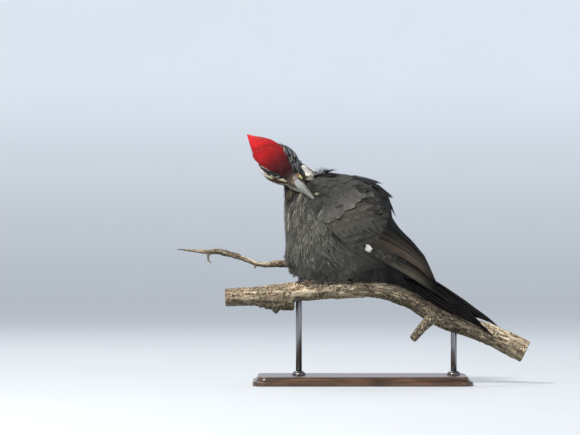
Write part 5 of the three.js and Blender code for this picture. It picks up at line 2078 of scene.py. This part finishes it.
def bark_material(name):
    """Weathered wood with streaks, flaking bark, scales, cracks, lichen, pale sawn ends, painted shade below
    and painted light along it.
    """
    k = Nodes(name)
    run, turn, upward, core = (k.attribute(key) for key in ("Run", "Turn", "Up", "Core"))
    flake, scaly, cut = (k.attribute(key) for key in ("Flake", "Scaly", "Cut"))
    place = k.place()

    def grain(run_scale, cross_scale, detail, offset=0.0):
        """Noise drawn out along the limb; the scales are cells per 100 mm along it and across it."""
        run_at = k.math("MULTIPLY_ADD", run, run_scale, offset)
        across = (k.math("MULTIPLY", value, cross_scale) for value in (turn, upward))
        at = k.add("CombineXYZ", dict(enumerate((run_at, *across)))).outputs[0]
        return k.noise(1.0, detail, at, 0.5)

    fibre = grain(6.0, 34.0, 5.0)
    blotch = k.noise(55.0, 4.0, place)
    speck = k.noise(520.0, 4.0, place)
    streak = grain(4.0, 20.0, 4.0, 7.0)
    cream = grain(5.0, 26.0, 4.0, 31.0)
    wood = k.mix(k.ramp(fibre, 0.38, 0.62), (0.17, 0.12, 0.07), (0.56, 0.45, 0.31))
    wood = k.mix(k.ramp(streak, 0.48, 0.54), wood, (0.075, 0.043, 0.026))
    wood = k.mix(k.ramp(cream, 0.53, 0.60), wood, (0.86, 0.75, 0.53))
    wood = k.mix(k.ramp(speck, 0.62, 0.70), wood, (0.74, 0.62, 0.42))
    dull = k.mix(k.ramp(speck, 0.35, 0.7), (0.15, 0.115, 0.072), (0.36, 0.29, 0.18))
    wood = k.mix(k.ramp(blotch, 0.50, 0.66), wood, dull)
    crumbs = k.noise(330.0, 6.0, place)
    rough_bark = k.mix(k.ramp(crumbs, 0.44, 0.60), (0.05, 0.037, 0.024), (0.46, 0.37, 0.24))
    colour = k.mix(flake, wood, rough_bark)
    lichen = k.math("MULTIPLY", k.ramp(k.noise(38.0, 5.0, place), 0.60, 0.72), 0.4)
    colour = k.mix(lichen, colour, (0.36, 0.36, 0.22))
    edges = k.to_edge(1.0, k.stretched(place, (250.0, 330.0, 330.0)))
    scale = k.mix(speck, (0.40, 0.31, 0.19), (0.80, 0.68, 0.48))
    colour = k.mix(k.math("MULTIPLY", scaly, k.ramp(edges, 0.10, 0.20)), colour, scale)
    colour = k.mix(k.math("MULTIPLY", scaly, k.ramp(edges, 0.11, 0.03)), colour, (0.13, 0.035, 0.018))
    colour = k.mix(k.attribute("Crack"), colour, (0.045, 0.022, 0.012))
    # Painted shade on the limb's underside, and dark patches on the knot.
    shade = k.mix(k.ramp(crumbs, 0.42, 0.66), (0.014, 0.012, 0.009), (0.17, 0.135, 0.07))
    colour = k.mix(k.attribute("Under"), colour, shade)
    rings = k.math("SINE", k.math("MULTIPLY", k.math("ADD", core, k.math("MULTIPLY", blotch, 0.18)), 75.0))
    end = k.mix(k.ramp(rings, -1.0, 1.0), (0.30, 0.21, 0.125), (0.47, 0.36, 0.235))
    end = k.mix(k.ramp(core, 0.84, 0.95), end, (0.06, 0.047, 0.034))
    # Painted light and shadow along the limb, with the wood's own tone.
    colour = k.add("VectorMath", {0: colour, "Scale": k.attribute("Tone")}, operation="SCALE").outputs[0]
    colour = k.mix(cut, colour, end)
    k.bump(k.math("ADD", k.math("MULTIPLY", fibre, 0.8), k.math("MULTIPLY", speck, 0.6)), 0.75, 0.0007)
    return k.set(Base_Color=colour, Roughness=k.math("MULTIPLY_ADD", speck, 0.2, 0.72))


def on_line(points, table):
    """Where points lie beside a limb: run along it, turn about it, distance, its radius and direction."""
    dense_rows = along(table, np.linspace(0, 1, 500))
    line, radii = dense_rows[:, :3], dense_rows[:, 3]
    run = np.concatenate([[0], np.cumsum(np.linalg.norm(np.diff(line, axis=0), axis=1))])
    tangent = unit(np.gradient(line, axis=0))
    found = []
    for chunk in np.array_split(points, max(1, len(points) // 2000)):
        found.append(((chunk[:, None] - line[None]) ** 2).sum(-1).argmin(1))
    i = np.concatenate(found)
    offset = points - line[i]
    offset = offset - dot(offset, tangent[i]) * tangent[i]
    side = unit(np.cross(tangent[i], [0.0, 0.0, 1.0]))
    up = np.cross(side, tangent[i])
    turn = np.arctan2(dot(offset, side)[:, 0], dot(offset, up)[:, 0])
    return run[i], turn, np.linalg.norm(offset, axis=1), radii[i], tangent[i]


# How light the wood is along it: its own tone, painted light where the bird's shadow falls, painted shadow
# under the tail: [x, share].
WOOD_TONE_AND_LIGHT = [
    (-230, 0.65), (-185, 0.75), (-160, 0.85), (-100, 0.95), (-42, 1.8), (0, 1.5), (60, 0.62), (130, 0.8),
    (190, 1.25),
]
STUB_X = 84  # the old stub under the branch
KNOT_X = -113  # the swollen knot under its near end
BURL_X = -70


def build_wood(name, node, table, cell, relief, seed, ends):
    """A limb's solid, cut finer and carved with ridges, cracks, plates of bark and swellings."""
    points, faces = corners_of(NODES[node]), faces_of(NODES[node])
    low = np.floor((points.min(0) - 6 * cell) / cell).astype(int)
    shape = tuple(np.ceil((points.max(0) + 6 * cell) / cell).astype(int) - low)
    values = blurred(distances(points, faces, low, shape, cell, 5), 2)
    points, faces = polygons(values, low, 0.1, cell=cell)
    field = Field(values, low * cell, cell)
    run, turn, distance, radius, tangent = on_line(points, table)
    across, above = radius * np.sin(turn), radius * np.cos(turn)
    normal = field.normal(points)
    facing = np.abs((normal * tangent).sum(-1))
    cut = smooth(0.72, 0.9, facing) * ends(points)
    on_branch = node == "perch"
    x, z = points[:, 0], points[:, 2]
    stub = smooth(99, 93, z) * smooth(28, 22, np.abs(x - STUB_X)) * on_branch
    knot = smooth(28, 18, np.abs(x - KNOT_X)) * smooth(116, 108, z) * on_branch

    ring = np.stack([run / 7.0, above / 1.8, across / 1.8], -1)
    ridges = layered(ring, 4, seed)
    cracks = np.clip(1 - np.abs(noise(ring * [0.45, 0.8, 0.8], seed + 9) - 0.5) / 0.045, 0, 1)
    plate = smooth(0.50, 0.62, noise(np.stack([run / 26, above / 11, across / 11], -1), seed + 3))
    plate = plate * smooth(0.35, 0.5, noise(points / 5.0, seed + 4))
    plate = np.maximum(plate, 1.1 * stub)
    swell = layered(points / 16.0, 2, seed + 6)
    height = relief * (1.1 * ridges - 1.1 * cracks * (1 - 0.5 * plate) + 0.75 * plate + 0.8 * swell)
    pits = noise(points / 1.2, seed + 8) > 0.62
    height = height * (1 - 0.85 * cut) - 0.25 * relief * cut * pits
    height = height + knot * 3.2 * layered(points / 4.5, 3, seed + 11)
    points = points + normal * height[:, None]

    near_burl = smooth(45, 20, np.abs(points[:, 0] - BURL_X))
    # Painted light and shadow along the limb, with the wood's own tone.
    tone = np.interp(points[:, 0], *np.array(WOOD_TONE_AND_LIGHT).T)
    # Painted shade on the underside of the limb.
    under_shade = smooth(0.1, -0.6, np.cos(turn) + 0.5 * (noise(points / 7.0, seed + 12) - 0.5))
    on_knot = knot * (0.5 + 0.5 * smooth(0.4, 0.6, noise(points / 3.0, seed + 14)))
    patch = noise(points / 15.0, seed + 13) + 0.4 * near_burl - 0.1
    scaly = smooth(0.38, 0.6, patch) * smooth(-0.35, 0.1, np.cos(turn)) * (1 - cut)
    extra = {
        "Run": run / 100, "Turn": across / 100, "Up": above / 100, "Flake": 0.85 * plate, "Cut": cut,
        "Core": distance / radius, "Crack": 0.85 * smooth(0.35, 0.9, cracks) * (1 - cut),
        "Under": np.maximum(0.8 * under_shade * (1 - stub), on_knot) * (1 - 0.7 * cut),
        "Scaly": 0.7 * scaly * on_branch, "Tone": tone,
    }
    o = make_mesh(name, points, faces, extra=extra)
    finish_piece(o, bark_material(name + "_bark"), [node])


def sawn_ends(p):
    """1 near the ends of the branch, where it was sawn."""
    return smooth(-176, -181, p[:, 0]) + smooth(207, 213, p[:, 0])


def no_ends(p):
    """0 all along the twig."""
    return 0 * p[:, 0]


build_wood("branch", "perch", BRANCH, 0.9, 0.85, 40, sawn_ends)
build_wood("twig", "perch_twig", TWIG, 0.6, 0.85, 60, no_ends)


# ---------------------------------------------------------------- stand

def wood_material():
    k = Nodes("dark_walnut")
    place = k.place()
    grain = k.noise(11.0, 8.0, k.stretched(place, (1.0, 9.0, 5.0)), 1.4)
    pores = k.noise(120.0, 3.0, k.stretched(place, (1.0, 22.0, 8.0)))
    colour = k.mix(k.ramp(grain, 0.34, 0.68), (0.030, 0.014, 0.007), (0.135, 0.068, 0.033))
    colour = k.mix(k.math("MULTIPLY", k.ramp(pores, 0.56, 0.72), 0.55), colour, (0.014, 0.007, 0.004))
    k.bump(k.math("SUBTRACT", grain, k.ramp(pores, 0.55, 0.75)), 0.18, 0.0002)
    k.set(Base_Color=colour, Roughness=k.math("MULTIPLY_ADD", pores, 0.2, 0.22))
    return k.set(Coat_Weight=0.35, Coat_Roughness=0.18)


def steel_material():
    k = Nodes("satin_dark_steel")
    lines = k.noise(60.0, 4.0, k.stretched(k.place(), (26.0, 26.0, 0.6)))
    k.bump(lines, 0.12, 0.00005)
    k.set(Base_Color=k.mix(lines, (0.19, 0.19, 0.2), (0.3, 0.3, 0.31)), Metallic=1.0)
    return k.set(Roughness=k.math("MULTIPLY_ADD", lines, 0.2, 0.24))


def rounded_outline(length, width, corner, steps=14):
    """The corners' points round a rectangle, and the way out at each."""
    x, y = length / 2 - corner, width / 2 - corner
    points, outs = [], []
    for cx, cy, start in ((x, y, 0), (-x, y, 90), (-x, -y, 180), (x, -y, 270)):
        a = np.radians(start + np.linspace(0, 90, steps))
        out = np.stack([np.cos(a), np.sin(a)], -1)
        points.append([cx, cy] + corner * out)
        outs.append(out)
    return np.concatenate(points), np.concatenate(outs)


def at_height(flat, z):
    """Points of a plane lifted to z."""
    return np.concatenate([flat, np.full((len(flat), 1), z)], 1)


def build_base():
    """The board, with a hollow moulding round its upper edge."""
    outline, out = rounded_outline(BASE["length"], BASE["width"], BASE["corner"])
    h = BASE["height"]
    # [inset, z] up the board's side
    profile = [(-3.0, 0.0), (-0.8, 0.0), (0.0, 0.7), (0.0, 4.6), (-0.5, 5.4), (-1.6, 5.8)]
    for a in np.linspace(0.1, math.pi / 2, 9):
        profile.append((-1.6 - 5.0 * math.sin(a), 5.8 + (h - 6.2) * (1 - math.cos(a))))
    profile += [(-7.4, h - 0.25), (-8.2, h)]
    rings = [at_height(outline * 0.1, 0)] + [at_height(outline + out * inset, z) for inset, z in profile]
    rings += [at_height(outline * share, h) for share in (0.63, 0.36, 0.09)]
    points = np.concatenate(rings)
    faces = [halved(grid_faces(len(rings), len(outline), True))]
    first = np.arange(len(outline))
    for end in (first[::-1], first + (len(rings) - 1) * len(outline)):
        faces.append(np.stack([end, np.roll(end, -1), np.full(len(end), len(points))], -1))
        points = np.concatenate([points, [points[end].mean(0)]])
    o = make_mesh("base_board", points, np.concatenate(faces))
    finish_piece(o, wood_material(), ["stand_base"])


def box_mm(node):
    """A node's lowest and highest corner and half its width, in millimetres."""
    low, high = (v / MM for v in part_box(node))
    return low, high, (high.x - low.x) / 2


def turned_post(name, node, profile, material):
    """A round post about an upright line: profile is [radius, z] from the bottom up."""
    low, high, _ = box_mm(node)
    x, y = (low.x + high.x) / 2, (low.y + high.y) / 2
    sides = 48
    a = np.linspace(0, 2 * np.pi, sides, endpoint=False)
    rings = [at_height(np.stack([x + r * np.cos(a), y + r * np.sin(a)], -1), z) for r, z in profile]
    faces = grid_faces(len(rings), sides, True)
    finish_piece(make_mesh(name, np.concatenate(rings), faces), material, [node])


build_base()
STEEL = steel_material()
CHAMFER = 0.4
for i in (1, 2):
    rod, collar = f"stand_rod_{i}", f"stand_collar_{i}"
    low, high, r = box_mm(rod)
    rim = [(0.01, low.z), (r, low.z), (r, high.z - CHAMFER), (r - CHAMFER, high.z), (0.01, high.z)]
    turned_post(f"post_{i}", rod, rim, STEEL)
    low, high, big = box_mm(collar)
    rim = [(r + 0.1, low.z), (big, low.z), (big, low.z + 1.6), (big - 0.5, low.z + 2.2)]
    rim += [(big - 2.2, high.z - 0.9), (big - 3.0, high.z - 0.2), (big - 3.6, high.z), (r + 0.1, high.z)]
    turned_post(f"collar_{i}", collar, rim, STEEL)


# ---------------------------------------------------------------- floor, light and camera

def build_floor():
    """A pale round sheet under the stand that curves up all round, well outside every light and view."""
    flat, turn, sides = 7.0, 1.6, 96  # metres to where it turns up, the radius of the turn, corners round it
    line = [(r, 0.0) for r in (0.4, 0.8, 1.6, 3.2, 5.0, flat)]
    line += [(flat + turn * math.sin(a), turn * (1 - math.cos(a))) for a in np.linspace(0.1, math.pi / 2, 16)]
    line += [(flat + turn, turn + 0.6)]
    a = np.linspace(0, 2 * np.pi, sides, endpoint=False)
    rings = [at_height(np.stack([r * np.cos(a), r * np.sin(a)], -1), z) for r, z in line]
    points = np.concatenate(rings + [np.zeros((1, 3))]) / MM - [0, 0, 0.05]
    first = np.arange(sides)
    middle = np.stack([first, np.roll(first, -1), np.full(sides, len(points) - 1)], -1)
    around = halved(grid_faces(len(line), sides, True))[:, ::-1]
    floor = make_mesh("floor", points, np.concatenate([around, middle]))
    k = Nodes("pale_paper")
    tone = k.noise(3.0, 2.0)
    k.bump(k.noise(700.0, 2.0), 0.05, 0.0002)
    k.set(Base_Color=k.mix(tone, (0.40, 0.42, 0.44), (0.44, 0.46, 0.48)), Roughness=0.85)
    wall = k.ramp(k.add("SeparateXYZ", {0: k.place()}).outputs[2], -0.1, 0.7)
    k.put(k.shader.inputs["Emission Color"], (0.72, 0.78, 0.85))
    k.put(k.shader.inputs["Emission Strength"], k.math("MULTIPLY_ADD", wall, 0.42, 0.30))
    floor.data.materials.append(k.material)
    floor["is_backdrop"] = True


# Round lights: name, place in metres, size, watts, colour.
LIGHTS = [
    ("key", (-1.3, -1.55, 2.3), 0.5, 92.0, (1.0, 0.955, 0.88)),
    ("fill", (1.9, -2.1, 0.9), 2.0, 12.0, (0.9, 0.95, 1.0)),
    ("rim", (-0.4, 1.5, 1.9), 1.2, 18.0, (1.0, 0.99, 0.97)),
]
AIM = (-0.0958, 0.0, 0.2215)  # metres: the point that the lights and the camera face
CAMERA_LENS = 233.5  # on a sensor 36 mm wide
CAMERA_DISTANCE = 5.0


def area_light(name, at, size, watts, colour):
    light = bpy.data.lights.new(name, "AREA")
    light.shape, light.size, light.energy, light.color = "DISK", size, watts, colour
    o = bpy.data.objects.new(name, light)
    o.location = at
    o.rotation_euler = (Vector(AIM) - Vector(at)).to_track_quat("-Z", "Y").to_euler()
    bpy.context.scene.collection.objects.link(o)


build_floor()
for light in LIGHTS:
    area_light(*light)

world = bpy.data.worlds.new("studio")
world.use_nodes = True
sky = world.node_tree.nodes["Background"].inputs
sky["Color"].default_value = (0.80, 0.87, 1.0, 1)
sky["Strength"].default_value = 0.38
bpy.context.scene.world = world
bpy.context.scene.view_settings.view_transform = "Standard"

camera_data = bpy.data.cameras.new("camera")
camera_data.sensor_width = 36.0
camera_data.lens = CAMERA_LENS
camera_data.clip_end = 50.0
camera = bpy.data.objects.new("camera", camera_data)
camera.location = (AIM[0], -CAMERA_DISTANCE, AIM[2])
camera.rotation_euler = (math.pi / 2, 0, 0)
bpy.context.scene.collection.objects.link(camera)
bpy.context.scene.camera = camera

low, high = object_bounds()
